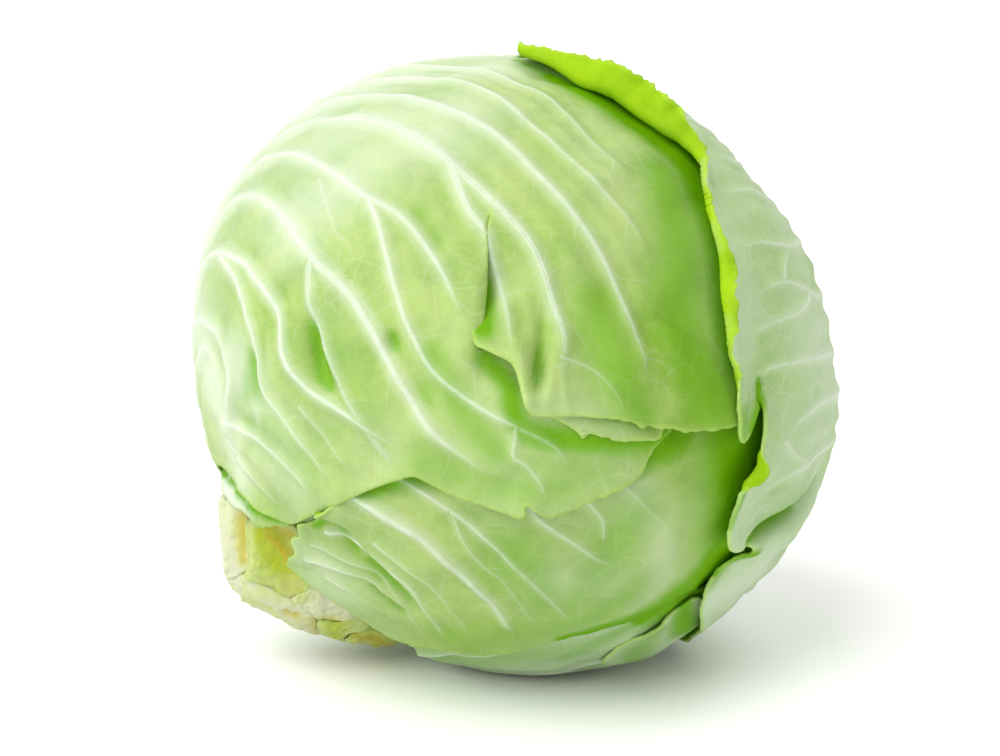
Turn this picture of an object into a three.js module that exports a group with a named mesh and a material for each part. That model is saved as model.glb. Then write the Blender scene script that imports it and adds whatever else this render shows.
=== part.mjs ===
// A head of white cabbage: a tight round heart, the leaves wrapped over it and the cut stem
// among the trimmed stalks of leaves that were taken off.
// Millimetres, +Z up, standing on its flat foot. The stem points down and to the left.

import * as THREE from 'three';
import { mergeVertices } from 'three/addons/utils/BufferGeometryUtils.js';

// Driving dimensions of the head.
const ACROSS_RADIUS = 84.7; // heart, square to the stem
const ALONG_RADIUS = 77.5; // heart, along the stem
const FOOT_DEPTH = 81.2; // middle of the heart down to the flat foot
const STEM_WAY = { azimuth: -78, elevation: -44 };

// Leaves.
const LEAF_THICKNESS = 1.2;
const LAYER_PITCH = 1.7; // one leaf and the gap over it
const HEART_INSET = 0.6; // extra gap between the heart and the leaves, for their flat faces
const LEAF_CELL = 5; // degrees between the points of a leaf's faces
const STALK_CELL = 2.5; // the same on a stalk
const EDGE_FIT = 0.85; // how far border points are drawn to the outline

// Broad swells of the whole head: way out, height and spread in degrees.
const HEAD_SWELLS = [
  { azimuth: 20, elevation: -78, height: 2, spread: 32 },
  { azimuth: -60, elevation: 85, height: -1.6, spread: 34 },
];

// Cut stem and stalks.
const STUMP_RADIUS = 13;
const STUMP_TOP_RADIUS = 11.5;
const STUMP_REACH = 94; // middle of the heart to the cut face
const STUMP_SIDES = 24;
const ROOT_CLEARANCE = 1; // over the heart, at the middle of the stump's root

// Each leaf is drawn flat, as (east, north) degrees of arc from its middle on the head.
// layer counts the leaves under it.
const LEAVES = [
  {
    name: 'bottom_leaf',
    colour: '#a9c088',
    middle: { azimuth: 20, elevation: -75 },
    layer: 0,
    swells: [],
    outline: [
      [-30, 20], [-14, 34], [10, 38], [30, 32], [44, 18], [52, 0], [50, -24], [38, -44],
      [16, -56], [-6, -54], [-22, -42], [-28, -31], [-25, -22], [-20, -12], [-22, -2], [-30, 8],
    ],
  },
  {
    name: 'base_leaf',
    colour: '#bcd79a',
    middle: STEM_WAY,
    layer: 0,
    swells: [],
    outline: [
      [27, 19], [21, 18], [15, 22], [0, 23], [-8, 25], [-13, 34], [-8, 48], [8, 54],
      [24, 48], [34, 36], [34, 24],
    ],
  },
  {
    name: 'lower_leaf',
    colour: '#b7d491',
    middle: { azimuth: -10, elevation: -25 },
    layer: 1,
    swells: [],
    outline: [
      [-14, 24], [-18, 12], [-24, 6], [-31, 0], [-34, -7], [-37, -16], [-29, -21],
      [-19, -26], [-9, -27], [4, -23], [18, -19], [29, -17], [38, -12], [41, -3],
      [40, 8], [41, 20], [36, 30], [18, 34], [0, 32],
    ],
  },
  {
    name: 'front_leaf',
    colour: '#c3dd9b',
    middle: { azimuth: -25, elevation: 30 },
    layer: 2,
    swells: [],
    outline: [
      [-22, -50], [-12, -46], [3, -40], [16, -38], [28, -41], [36, -38], [45, -34],
      [51, -26], [62, -22], [76, -16], [78, 4], [75, 28], [64, 52], [44, 72], [20, 84],
      [-12, 88], [-40, 86], [-68, 80], [-88, 62], [-102, 30], [-106, 0], [-98, -28],
      [-88, -44], [-76, -52], [-66, -46], [-57, -42], [-48, -38], [-36, -46],
    ],
  },
  {
    name: 'right_leaf',
    colour: '#b4cf98',
    middle: { azimuth: 130, elevation: 0 },
    layer: 3,
    swells: [
      { azimuth: 40, elevation: -55, height: -2.6, spread: 38 },
      { azimuth: 20, elevation: 62, height: 4, spread: 22 },
    ],
    outline: [
      [-2, 84], [-12, 74], [-22, 63], [-41, 60], [-61, 51], [-76, 34], [-84, 18], [-88, 0],
      [-84, -16], [-82, -28], [-72, -40], [-64, -56], [-60, -70], [-48, -79], [-36, -74],
      [-20, -66], [0, -62], [20, -64], [36, -78], [46, -92], [53, -98], [70, -89],
      [92, -62], [104, -26], [94, 20], [72, 58], [40, 82], [16, 92],
    ],
  },
];

// Trimmed leaf stalks round the stem, drawn flat from the stem's own way out.
const STALKS = [
  {
    name: 'stalk_left',
    colour: '#efe6d2',
    thickness: 13,
    outline: [[-4, 12], [8, 11], [12, 14], [10, 20], [0, 20.5], [-6, 17]],
  },
  {
    name: 'stalk_middle',
    colour: '#dfe6b0',
    thickness: 6,
    outline: [[11, 2], [16, 2.5], [16.5, 8], [15, 13], [9.5, 9]],
  },
  {
    name: 'stalk_lower',
    colour: '#efe3c3',
    thickness: 7,
    outline: [[10.5, -8.5], [17, -9], [17, 1], [11, 0.5]],
  },
  {
    name: 'stalk_green',
    colour: '#c3d58c',
    thickness: 9,
    outline: [[5, -10.5], [14, -10.5], [15, -15], [10, -17], [6, -16]],
  },
  {
    name: 'stalk_grey',
    colour: '#b9bf94',
    thickness: 8,
    outline: [[-4, -11.5], [3.5, -12], [5, -18], [9, -18.5], [8, -22], [-2, -21], [-6, -16]],
  },
];

const degrees = THREE.MathUtils.degToRad;

// Unit direction: azimuth 0 faces -Y and 90 faces +X.
function wayOut({ azimuth, elevation }) {
  const level = Math.cos(degrees(elevation));
  return new THREE.Vector3(
    level * Math.sin(degrees(azimuth)),
    -level * Math.cos(degrees(azimuth)),
    Math.sin(degrees(elevation)),
  );
}

const stemAxis = wayOut(STEM_WAY);

function swellHeight(direction, swells) {
  return swells.reduce((sum, swell) => {
    const apart = THREE.MathUtils.radToDeg(direction.angleTo(wayOut(swell)));
    return sum + swell.height * Math.exp(-((apart / swell.spread) ** 2));
  }, 0);
}

// Radius of the heart's egg shape, with the head's broad swells.
function heartRadius(direction) {
  const along = direction.dot(stemAxis) ** 2;
  const egg = 1 / Math.sqrt(along / ALONG_RADIUS ** 2 + (1 - along) / ACROSS_RADIUS ** 2);
  return egg + swellHeight(direction, HEAD_SWELLS);
}

// Point at a lift over the heart. Near the foot every layer is pressed flat in its turn.
function headPoint(direction, lift) {
  const point = direction.clone().multiplyScalar(heartRadius(direction) + lift);
  point.z = Math.max(point.z, LAYER_PITCH - lift - FOOT_DEPTH);
  return point;
}

// Wraps a flat place in degrees round the head from a leaf's middle.
function wrapped(middle, [east, north]) {
  const out = wayOut(middle);
  const eastWay = new THREE.Vector3(
    Math.cos(degrees(middle.azimuth)), Math.sin(degrees(middle.azimuth)), 0,
  );
  const northWay = out.clone().cross(eastWay);
  const arc = Math.hypot(east, north);
  if (arc === 0) return out;
  const tangent = eastWay.multiplyScalar(east / arc).addScaledVector(northWay, north / arc);
  return out.multiplyScalar(Math.cos(degrees(arc))).addScaledVector(tangent, Math.sin(degrees(arc)));
}

function isInside(outline, [x, y]) {
  let inside = false;
  outline.forEach(([ax, ay], i) => {
    const [bx, by] = outline[(i + 1) % outline.length];
    if ((ay > y) !== (by > y) && x < ax + ((y - ay) * (bx - ax)) / (by - ay)) inside = !inside;
  });
  return inside;
}

function nearestOnOutline(outline, place) {
  let best = place;
  let bestDistance = Infinity;
  outline.forEach((a, i) => {
    const b = outline[(i + 1) % outline.length];
    const run = [b[0] - a[0], b[1] - a[1]];
    const share = ((place[0] - a[0]) * run[0] + (place[1] - a[1]) * run[1]) / (run[0] ** 2 + run[1] ** 2);
    const t = THREE.MathUtils.clamp(share, 0, 1);
    const foot = [a[0] + run[0] * t, a[1] + run[1] * t];
    const distance = Math.hypot(foot[0] - place[0], foot[1] - place[1]);
    if (distance < bestDistance) {
      best = foot;
      bestDistance = distance;
    }
  });
  return best;
}

// Square cells that lie inside an outline, as "column,row" keys. Where two cells meet at a
// corner only, a third is added, so that the sheet is one piece.
function cellsInside(outline, size) {
  const columns = outline.map(([east]) => Math.floor(east / size));
  const rows = outline.map(([, north]) => Math.floor(north / size));
  const cells = new Set();
  for (let column = Math.min(...columns); column <= Math.max(...columns); column += 1) {
    for (let row = Math.min(...rows); row <= Math.max(...rows); row += 1) {
      const centre = [(column + 0.5) * size, (row + 0.5) * size];
      if (isInside(outline, centre)) cells.add(`${column},${row}`);
    }
  }
  [...cells].forEach((key) => {
    const [column, row] = key.split(',').map(Number);
    [-1, 1].forEach((side) => {
      const cornerOnly = cells.has(`${column + side},${row + 1}`)
        && !cells.has(`${column + side},${row}`) && !cells.has(`${column},${row + 1}`);
      if (cornerOnly) cells.add(`${column},${row + 1}`);
    });
  });
  return cells;
}

// A leaf or stalk as one closed shell: outer face, inner face and the wall round its edge.
// Its inner face lies at a lift over the heart, and cell is the size of its faces.
function shellGeometry({ middle, inner, thickness, cell, swells, outline }) {
  const cells = cellsInside(outline, cell);
  const positions = [];
  const indices = [];
  const corners = new Map();

  const touchesOutside = (column, row) => [[0, 0], [-1, 0], [0, -1], [-1, -1]]
    .some(([across, up]) => !cells.has(`${column + across},${row + up}`));

  // Index of a corner's outer point. The inner point follows it.
  const corner = (column, row) => {
    const key = `${column},${row}`;
    if (!corners.has(key)) {
      let place = [column * cell, row * cell];
      if (touchesOutside(column, row)) {
        const foot = nearestOnOutline(outline, place);
        place = place.map((value, i) => THREE.MathUtils.lerp(value, foot[i], EDGE_FIT));
      }
      const direction = wrapped(middle, place);
      const lift = inner + swellHeight(direction, swells);
      corners.set(key, positions.length / 3);
      positions.push(...headPoint(direction, lift + thickness).toArray());
      positions.push(...headPoint(direction, lift).toArray());
    }
    return corners.get(key);
  };

  cells.forEach((key) => {
    const [column, row] = key.split(',').map(Number);
    const ring = [[0, 0], [1, 0], [1, 1], [0, 1]].map(([across, up]) => corner(column + across, row + up));
    const [a, b, c, d] = ring;
    indices.push(a, b, c, a, c, d);
    indices.push(a + 1, c + 1, b + 1, a + 1, d + 1, c + 1);
    const beyond = [[0, -1], [1, 0], [0, 1], [-1, 0]];
    beyond.forEach(([across, up], side) => {
      if (cells.has(`${column + across},${row + up}`)) return;
      const start = ring[side];
      const end = ring[(side + 1) % ring.length];
      indices.push(start, start + 1, end + 1, start, end + 1, end);
    });
  });

  const geometry = new THREE.BufferGeometry();
  geometry.setAttribute('position', new THREE.Float32BufferAttribute(positions, 3));
  geometry.setIndex(indices);
  return geometry;
}

// The heart: a ball drawn out to the egg shape, with its foot pressed flat.
function heartGeometry() {
  const ball = new THREE.IcosahedronGeometry(1, 9);
  ball.deleteAttribute('normal');
  ball.deleteAttribute('uv');
  const geometry = mergeVertices(ball);
  const points = geometry.getAttribute('position');
  for (let i = 0; i < points.count; i += 1) {
    const direction = new THREE.Vector3().fromBufferAttribute(points, i).normalize();
    points.setXYZ(i, ...headPoint(direction, -HEART_INSET).toArray());
  }
  return geometry;
}

function withColour(name, geometry, colour, roughness) {
  const material = new THREE.MeshStandardMaterial({ color: colour, roughness, metalness: 0 });
  const mesh = new THREE.Mesh(geometry, material);
  mesh.name = name;
  return mesh;
}

function wrapperLeaf({ name, colour, middle, layer, swells, outline }) {
  const inner = LAYER_PITCH * (layer + 1) - LEAF_THICKNESS;
  const leaf = { middle, inner, thickness: LEAF_THICKNESS, cell: LEAF_CELL, swells, outline };
  return withColour(name, shellGeometry(leaf), colour, 0.5);
}

function trimmedStalk({ name, colour, thickness, outline }) {
  const inner = LAYER_PITCH - LEAF_THICKNESS;
  const stalk = { middle: STEM_WAY, inner, thickness, cell: STALK_CELL, swells: [], outline };
  return withColour(name, shellGeometry(stalk), colour, 0.7);
}

function cutStem() {
  const start = heartRadius(stemAxis) + ROOT_CLEARANCE;
  const height = STUMP_REACH - start;
  const block = new THREE.CylinderGeometry(STUMP_TOP_RADIUS, STUMP_RADIUS, height, STUMP_SIDES, 1);
  const stump = withColour('stem_stump', block, '#efe2c8', 0.7);
  stump.quaternion.setFromUnitVectors(new THREE.Vector3(0, 1, 0), stemAxis);
  stump.position.copy(stemAxis).multiplyScalar(start + height / 2);
  return stump;
}

const head = new THREE.Group();
head.add(withColour('inner_head', heartGeometry(), '#a5cf5c', 0.55));
LEAVES.forEach((leaf) => head.add(wrapperLeaf(leaf)));
head.add(cutStem());
STALKS.forEach((stalk) => head.add(trimmedStalk(stalk)));

// The origin is on the floor, under the middle of the head's box.
head.updateMatrixWorld(true);
const box = new THREE.Box3().setFromObject(head, true);
head.position.set(-(box.min.x + box.max.x) / 2, -(box.min.y + box.max.y) / 2, -box.min.z);

const cabbage = new THREE.Group();
cabbage.add(head);
export default cabbage;
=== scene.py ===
"""A head of white cabbage: wrapper leaves with raised veins over a tight heart, and a cut stem."""

import math
import bmesh
import bpy
import numpy as np
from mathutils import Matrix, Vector
from mathutils.kdtree import KDTree


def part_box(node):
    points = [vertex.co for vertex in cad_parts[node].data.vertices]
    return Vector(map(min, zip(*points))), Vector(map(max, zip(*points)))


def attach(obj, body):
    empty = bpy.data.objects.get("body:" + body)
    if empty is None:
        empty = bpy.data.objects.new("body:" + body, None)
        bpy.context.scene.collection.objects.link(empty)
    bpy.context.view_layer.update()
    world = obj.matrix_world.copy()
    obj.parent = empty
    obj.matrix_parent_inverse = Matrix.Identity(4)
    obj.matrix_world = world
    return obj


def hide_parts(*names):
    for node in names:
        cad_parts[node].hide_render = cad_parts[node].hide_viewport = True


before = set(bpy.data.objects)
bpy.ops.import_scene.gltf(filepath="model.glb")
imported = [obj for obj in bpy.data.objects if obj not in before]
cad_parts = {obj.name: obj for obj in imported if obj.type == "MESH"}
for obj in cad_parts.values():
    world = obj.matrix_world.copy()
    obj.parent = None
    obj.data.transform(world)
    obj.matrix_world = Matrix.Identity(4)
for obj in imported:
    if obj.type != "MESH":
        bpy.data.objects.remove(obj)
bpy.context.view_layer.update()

bl_info = {
    "name": "Cabbage Head",
    "version": (1, 0, 0),
    "blender": (4, 5, 0),
    "location": "3D View > Sidebar > Cabbage",
    "description": "Builds a head of white cabbage leaf by leaf, with its cut stem",
    "category": "Add Mesh",
}

MM = 0.001

# The head's egg shape, in millimetres, as the heart of the frame has it.
ACROSS_RADIUS = 84.7
ALONG_RADIUS = 77.5
FOOT_DEPTH = 81.2  # from the middle down to the foot

# Broad swells of that shape: azimuth, elevation, height in millimetres and spread in degrees.
HEAD_SWELLS = [(20, -78, 2.0, 32), (-60, 85, -1.6, 34)]

STEM_WAY = (-78, -44)  # azimuth and elevation of the stem

# The layers of leaf over the heart, in millimetres.
LAYER_PITCH = 1.7
HEART_INSET = 1.2  # the heart's skin lies this far inside the egg shape
FLAT_LIMIT = 3.0  # a layer is pressed flat at most this far above the foot
PRESS_ROUNDING = 0.5  # how softly it turns into its flat
PRESSED = 7.0  # relief fades out this far above the foot

DEGREE = 1.5  # millimetres of leaf in one degree of arc
UV_SCALE = 0.01  # units of the UV map in one degree of arc

# All leaves nest, so they share one broad unevenness. Finer waves are each leaf's own.
RUMPLE_HEIGHT = 0.6
RUMPLE_LENGTH = 30.0
RUMPLE_SEED = 11
LEAF_WAVES = ((0.26, 10.0), (0.07, 5.0))  # height and wavelength in millimetres
RUFFLE_WAVES = ((1.0, 13.0), (0.6, 6.0))  # share of a collar's ruffle, and wavelength


def head_middle():
    """Middle of the heart in the frame, in millimetres."""
    low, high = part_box("inner_head")
    return np.array([(low[0] + high[0]) / 2 / MM, (low[1] + high[1]) / 2 / MM, FOOT_DEPTH])


MIDDLE = head_middle()


# ---------------------------------------------------------------- the head's round shape


def way_out(azimuth, elevation):
    """Unit direction. Azimuth 0 faces -Y and 90 faces +X."""
    turn, rise = math.radians(azimuth), math.radians(elevation)
    level = math.cos(rise)
    return np.array([level * math.sin(turn), -level * math.cos(turn), math.sin(rise)])


STEM_AXIS = way_out(*STEM_WAY)


def smooth(value):
    """Soft step from 0 to 1."""
    value = np.clip(value, 0.0, 1.0)
    return value * value * (3.0 - 2.0 * value)


def bell(offset):
    """Round hump of height 1 about an offset of 0."""
    return np.exp(-(offset**2))


def unit(rows):
    """Each row at a length of 1."""
    return rows / np.maximum(np.linalg.norm(rows, axis=1), 1e-9)[:, None]


def swell(directions, swells):
    """Sum of round swells at the directions, in millimetres."""
    total = np.zeros(len(directions))
    for azimuth, elevation, height, spread in swells:
        apart = np.degrees(np.arccos(np.clip(directions @ way_out(azimuth, elevation), -1, 1)))
        total += height * bell(apart / spread)
    return total


def heart_radius(directions):
    """Distance from the head's middle to the heart's skin."""
    along = (directions @ STEM_AXIS) ** 2
    egg = 1 / np.sqrt(along / ALONG_RADIUS**2 + (1 - along) / ACROSS_RADIUS**2)
    return egg + swell(directions, HEAD_SWELLS)


def on_head(directions, lift):
    """Places at a lift over the heart. Near the foot each layer is pressed flat in its turn."""
    places = directions * (heart_radius(directions) + lift)[:, None]
    floor = np.minimum(LAYER_PITCH - lift, FLAT_LIMIT) - FOOT_DEPTH
    depth = places[:, 2] - floor
    rounded = PRESS_ROUNDING * np.exp(np.clip(depth / PRESS_ROUNDING - 1, -30, 0))
    places[:, 2] = np.maximum(floor + np.where(depth > PRESS_ROUNDING, depth, rounded), floor)
    return places


class Chart:
    """A flat drawing in (east, north) degrees of arc, wrapped round the head from its middle."""

    def __init__(self, azimuth, elevation):
        turn = math.radians(azimuth)
        self.out = way_out(azimuth, elevation)
        self.east = np.array([math.cos(turn), math.sin(turn), 0.0])
        self.north = np.cross(self.out, self.east)

    def wrap(self, flat):
        """Directions from the head's middle to the places of a flat drawing."""
        flat = np.asarray(flat, dtype=float)
        arc = np.hypot(flat[:, 0], flat[:, 1])
        share = flat / np.maximum(arc, 1e-9)[:, None]
        tangent = share[:, :1] * self.east + share[:, 1:2] * self.north
        angle = np.radians(arc)[:, None]
        return self.out * np.cos(angle) + tangent * np.sin(angle)


def waves(places, wavelength, seed, count=18):
    """Smooth random undulation between about -1 and 1, the same on each run."""
    dice = np.random.default_rng(seed)
    total = np.zeros(len(places))
    for _ in range(count):
        way = dice.normal(size=3)
        way /= np.linalg.norm(way)
        turns = 2 * math.pi / (wavelength * dice.uniform(0.75, 1.6))
        total += np.sin(places @ way * turns + dice.uniform(0, 2 * math.pi))
    return total / math.sqrt(count)


def layered_waves(places, layers, seed):
    """Sum of waves. Each layer is a height and a wavelength, and takes the next seed."""
    return sum(height * waves(places, length, seed + i) for i, (height, length) in enumerate(layers))


def rumple(directions):
    """The broad unevenness that the heart and all leaves share."""
    return RUMPLE_HEIGHT * waves(directions * ACROSS_RADIUS, RUMPLE_LENGTH, RUMPLE_SEED)


# ---------------------------------------------------------------- drawn lines and patches


def curve_through(points, step, closed=False):
    """Smooth curve through points with any number of columns, in steps of about one size."""
    points = np.asarray(points, dtype=float)
    if closed:
        ring = np.vstack([points[-1:], points, points[:2]])
    else:
        ring = np.vstack([2 * points[:1] - points[1:2], points, 2 * points[-1:] - points[-2:-1]])
    samples = []
    for a, b, c, d in zip(ring[:-3], ring[1:-2], ring[2:-1], ring[3:]):
        pieces = max(2, int(math.ceil(np.hypot(*(c - b)[:2]) / step)))
        t = (np.arange(pieces) / pieces)[:, None]
        bend = (c - a) * t + (2 * a - 5 * b + 4 * c - d) * t**2 + (3 * b - a - 3 * c + d) * t**3
        samples.append(b + 0.5 * bend)
    if not closed:
        samples.append(points[-1:])
    return np.vstack(samples)


def search_tree(places):
    """Finds the nearest of many places."""
    tree = KDTree(len(places))
    for i, place in enumerate(places):
        tree.insert(place, i)
    tree.balance()
    return tree


def nearest_on(line, places):
    """For each flat place: its distance from a line, the line's columns at its foot, and its side,
    which is 1 to the left of the line and -1 to the right."""
    tree = search_tree([(x, y, 0.0) for x, y in line[:, :2]])
    index = np.array([tree.find((x, y, 0.0))[1] for x, y in places])
    best = np.full(len(places), np.inf)
    foot = np.zeros((len(places), line.shape[1]))
    side = np.zeros(len(places))
    for offset in (-1, 0):
        start = np.clip(index + offset, 0, len(line) - 2)
        a, b = line[start], line[start + 1]
        run = b[:, :2] - a[:, :2]
        gap = places - a[:, :2]
        share = np.clip((gap * run).sum(1) / np.maximum((run**2).sum(1), 1e-12), 0, 1)[:, None]
        here = a + (b - a) * share
        apart = np.hypot(*(places - here[:, :2]).T)
        closer = apart < best
        best = np.where(closer, apart, best)
        foot = np.where(closer[:, None], here, foot)
        cross = run[:, 0] * gap[:, 1] - run[:, 1] * gap[:, 0]
        side = np.where(closer, np.sign(cross), side)
    return best, foot, side


def is_inside(outline, places):
    """Whether each flat place lies inside a closed outline."""
    inside = np.zeros(len(places), dtype=bool)
    x, y = places[:, 0], places[:, 1]
    for (ax, ay), (bx, by) in zip(outline, np.roll(outline, -1, axis=0)):
        if ay != by:
            inside ^= ((ay > y) != (by > y)) & (x < ax + (y - ay) * (bx - ax) / (by - ay))
    return inside


def painted(flat, storey, patches):
    """Soft patches, 0 to 1. Each is a storey or None for all of them, a strength, and a path with
    its width in degrees."""
    total = np.zeros(len(flat))
    for level, strength, path in patches:
        apart, foot, _ = nearest_on(curve_through(path, 0.6), flat)
        part = strength * bell(apart / np.maximum(foot[:, 2], 0.5))
        if level is not None:
            part = np.where(storey == level, part, 0)
        total = np.maximum(total, part)
    return np.clip(total, 0, 1)


FEATURE_REACH = 12  # a drawn feature's height is gone this many degrees from its path
STEP_DROP = 0.35  # width in degrees of a step's steep side


def relief_height(flat, storey, features):
    """Ridges, hollows and steps. Each is a shape, a storey or None for all of them, and a path of
    (east, north, height, width), with the height in millimetres and the width in degrees. A step
    rises slowly on the left of its path and drops at once on the right."""
    total = np.zeros(len(flat))
    for shape, level, path in features:
        line = curve_through(path, 0.5)
        low = line[:, :2].min(0) - FEATURE_REACH
        high = line[:, :2].max(0) + FEATURE_REACH
        near = ((flat > low) & (flat < high)).all(1)
        if level is not None:
            near &= storey == level
        if not near.any():
            continue
        apart, foot, side = nearest_on(line, flat[near])
        height, width = foot[:, 2], np.maximum(foot[:, 3], 0.2)
        if shape == "round":
            fall = bell(apart / width)
        elif shape == "sharp":
            fall = np.exp(-apart / width)
        else:
            fall = np.exp(-apart / np.where(side >= 0, width, STEP_DROP))
        total[near] += height * fall
    return total


# ---------------------------------------------------------------- veins

VEIN_STEP = 0.3  # degrees between a vein's points
END_SLACK = 0.4  # a vein's width begins to fade this many millimetres past its last point
TIP_SHARE = 0.15  # the last part of a vein, over which it narrows to a tip
TWIG_GAP = 13.0  # millimetres along a vein between its twigs
TWIG_STEP = 1.3  # millimetres between a twig's points
TWIG_FREE = 6.0  # millimetres at the end of a vein without twigs
TWIG_END = 0.1  # half width of a twig's end


class VeinNet:
    """Veins as strings of close points on the head, with a half width and a crease at each."""

    def __init__(self, strings):
        self.name = np.concatenate([np.full(len(row[0]), i) for i, row in enumerate(strings)])
        self.places, self.across, self.width, self.crease = map(np.concatenate, zip(*strings))
        self.tree = search_tree(self.places)

    def nearest(self, places):
        """Index of the vein point that is nearest to each place."""
        return np.array([self.tree.find(place)[1] for place in places])

    def measure(self, places, index):
        """Signed distance in mm to the vein at index, its half width there, and its crease. Past
        a vein's end the width fades out."""
        apart = places - self.places[index]
        offset = (apart * self.across[index]).sum(1)
        beyond = np.sqrt(np.maximum((apart**2).sum(1) - offset**2, 0))
        width = self.width[index] * (1 - smooth(beyond - END_SLACK))
        return offset, width, self.crease[index]

    def corner_measure(self, places, face):
        """The same at face corners. Each face keeps to the one vein that runs closest to it."""
        index = self.nearest(places)
        apart = np.linalg.norm(places - self.places[index], axis=1)
        order = np.lexsort((apart, face))
        first = order[np.searchsorted(face, np.arange(face[-1] + 1))]
        name = self.name[index]
        chosen = name[first][face]
        for vein in np.unique(chosen[chosen != name]):
            own = np.flatnonzero(self.name == vein)
            lost = np.flatnonzero((chosen == vein) & (name != vein))
            gap = np.linalg.norm(places[lost][:, None] - self.places[own][None], axis=2)
            index[lost] = own[gap.argmin(axis=1)]
        return self.measure(places, index)


def vein_string(chart, line, start_width, end_width, crease=0.0):
    """A vein's places, its sideways direction, half width and crease. It thins and ends in a tip."""
    directions = chart.wrap(line)
    places = directions * ACROSS_RADIUS
    across = np.cross(directions, unit(np.gradient(places, axis=0)))
    share = np.linspace(0, 1, len(line))
    width = start_width + (end_width - start_width) * share**0.8
    width *= 1 - 0.85 * smooth((share - 1 + TIP_SHARE) / TIP_SHARE)
    return places, across, width, np.full(len(line), crease)


def side_twigs(chart, line, width, dice):
    """Thin side veins that leave a vein by turns and bend along with it."""
    rows = []
    length = np.concatenate([[0], np.cumsum(np.hypot(*np.diff(line, axis=0).T))]) * DEGREE
    place, hand = TWIG_GAP * dice.uniform(0.4, 1.0), dice.choice([-1, 1])
    while place < length[-1] - TWIG_FREE:
        i = int(np.searchsorted(length, place))
        ahead = line[min(i + 2, len(line) - 1)] - line[max(i - 2, 0)]
        heading = math.atan2(ahead[1], ahead[0]) + hand * math.radians(dice.uniform(38, 70))
        twig = [line[i]]
        for _ in range(int(dice.uniform(6, 13))):
            heading -= hand * math.radians(dice.uniform(-14, 17))
            stride = np.array([math.cos(heading), math.sin(heading)]) * TWIG_STEP / DEGREE
            twig.append(twig[-1] + stride)
        rows.append(vein_string(chart, curve_through(twig, VEIN_STEP), 0.22 + 0.1 * width, TWIG_END))
        place += TWIG_GAP * dice.uniform(0.6, 1.4)
        hand = -hand
    return rows


def vein_nets(chart, veins, seed):
    """The main veins, each a half width at its start and end, a crease and a path; and twigs."""
    dice = np.random.default_rng(seed)
    main, twigs = [], []
    for start_width, end_width, crease, path in veins:
        line = curve_through(path, VEIN_STEP)
        main.append(vein_string(chart, line, start_width, end_width, crease))
        twigs += side_twigs(chart, line, end_width, dice)
    return VeinNet(main), VeinNet(twigs or main[:1])


# ---------------------------------------------------------------- meshes


def write_verts(bm, places, numbers):
    """Moves the vertices to places about the head's middle, and stores named numbers on them."""
    layers = {key: bm.verts.layers.float.new(key) for key in numbers}
    for vert, place in zip(bm.verts, (places + MIDDLE) * MM):
        vert.co = place
    for key, layer in layers.items():
        for vert, value in zip(bm.verts, numbers[key]):
            vert[layer] = float(value)


def link_mesh(name, bm, materials):
    """A smooth-shaded object made of the bmesh."""
    for face in bm.faces:
        face.smooth = True
    mesh = bpy.data.meshes.new(name)
    bm.to_mesh(mesh)
    bm.free()
    for material in materials:
        mesh.materials.append(material)
    item = bpy.data.objects.new(name, mesh)
    bpy.context.scene.collection.objects.link(item)
    return item


def heart_object(material):
    """The tight heart, one ball under the first layer of leaf."""
    bm = bmesh.new()
    bmesh.ops.create_icosphere(bm, subdivisions=6, radius=1.0)
    directions = np.array([v.co.normalized()[:] for v in bm.verts])
    write_verts(bm, on_head(directions, rumple(directions) - HEART_INSET), {})
    return link_mesh("heart", bm, [material])


# ---------------------------------------------------------------- leaves


def lattice(low, high, fine_low, fine_high, fine, coarse, origin=0.0):
    """Positions of grid lines: fine between two limits and coarse outside them."""
    first, last = math.floor((fine_low - origin) / fine), math.ceil((fine_high - origin) / fine)
    lines = list(origin + np.arange(first, last + 1) * fine)
    while lines[0] > low:
        lines.insert(0, lines[0] - coarse)
    while lines[-1] < high:
        lines.append(lines[-1] + coarse)
    return np.array(lines)


BORDER_DRAW = 0.92  # share of the way by which a grid's border moves to its outline


def cut_grid(bm, columns, rows, outline, storey_layer, storey):
    """Adds a flat grid, keeps what lies inside an outline and draws its border to the outline."""
    grid = bmesh.ops.create_grid(bm, x_segments=len(columns) - 1, y_segments=len(rows) - 1, size=0.5)
    verts = grid["verts"]
    place = np.array([v.co[:2] for v in verts]) + 0.5
    east = np.interp(place[:, 0], np.linspace(0, 1, len(columns)), columns)
    north = np.interp(place[:, 1], np.linspace(0, 1, len(rows)), rows)
    for vert, x, y in zip(verts, east, north):
        vert.co = (x, y, 0.0)
        vert[storey_layer] = storey
    faces = list({face for vert in verts for face in vert.link_faces})
    kept = is_inside(outline, np.array([face.calc_center_median()[:2] for face in faces]))
    bmesh.ops.delete(bm, geom=[f for f, keep in zip(faces, kept) if not keep], context="FACES")
    border = [v for v in bm.verts if v.is_boundary and v[storey_layer] == storey]
    closed = np.vstack([outline, outline[:1]])
    _, foot, _ = nearest_on(closed, np.array([v.co[:2] for v in border]))
    for vert, spot in zip(border, foot):
        vert.co.x += (spot[0] - vert.co.x) * BORDER_DRAW
        vert.co.y += (spot[1] - vert.co.y) * BORDER_DRAW


MARGIN_STEP = 0.35  # degrees between a margin's points
MARGIN_WINDOW = 7  # points over which its outward direction is evened out
TOOTH_WAVES = ((11.0, 0.5), (5.3, 0.5), (2.7, 0.35), (1.5, 0.15))  # millimetres and share
TOOTH_PATCH = 8  # millimetres of edge over which the teeth change in strength


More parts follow.
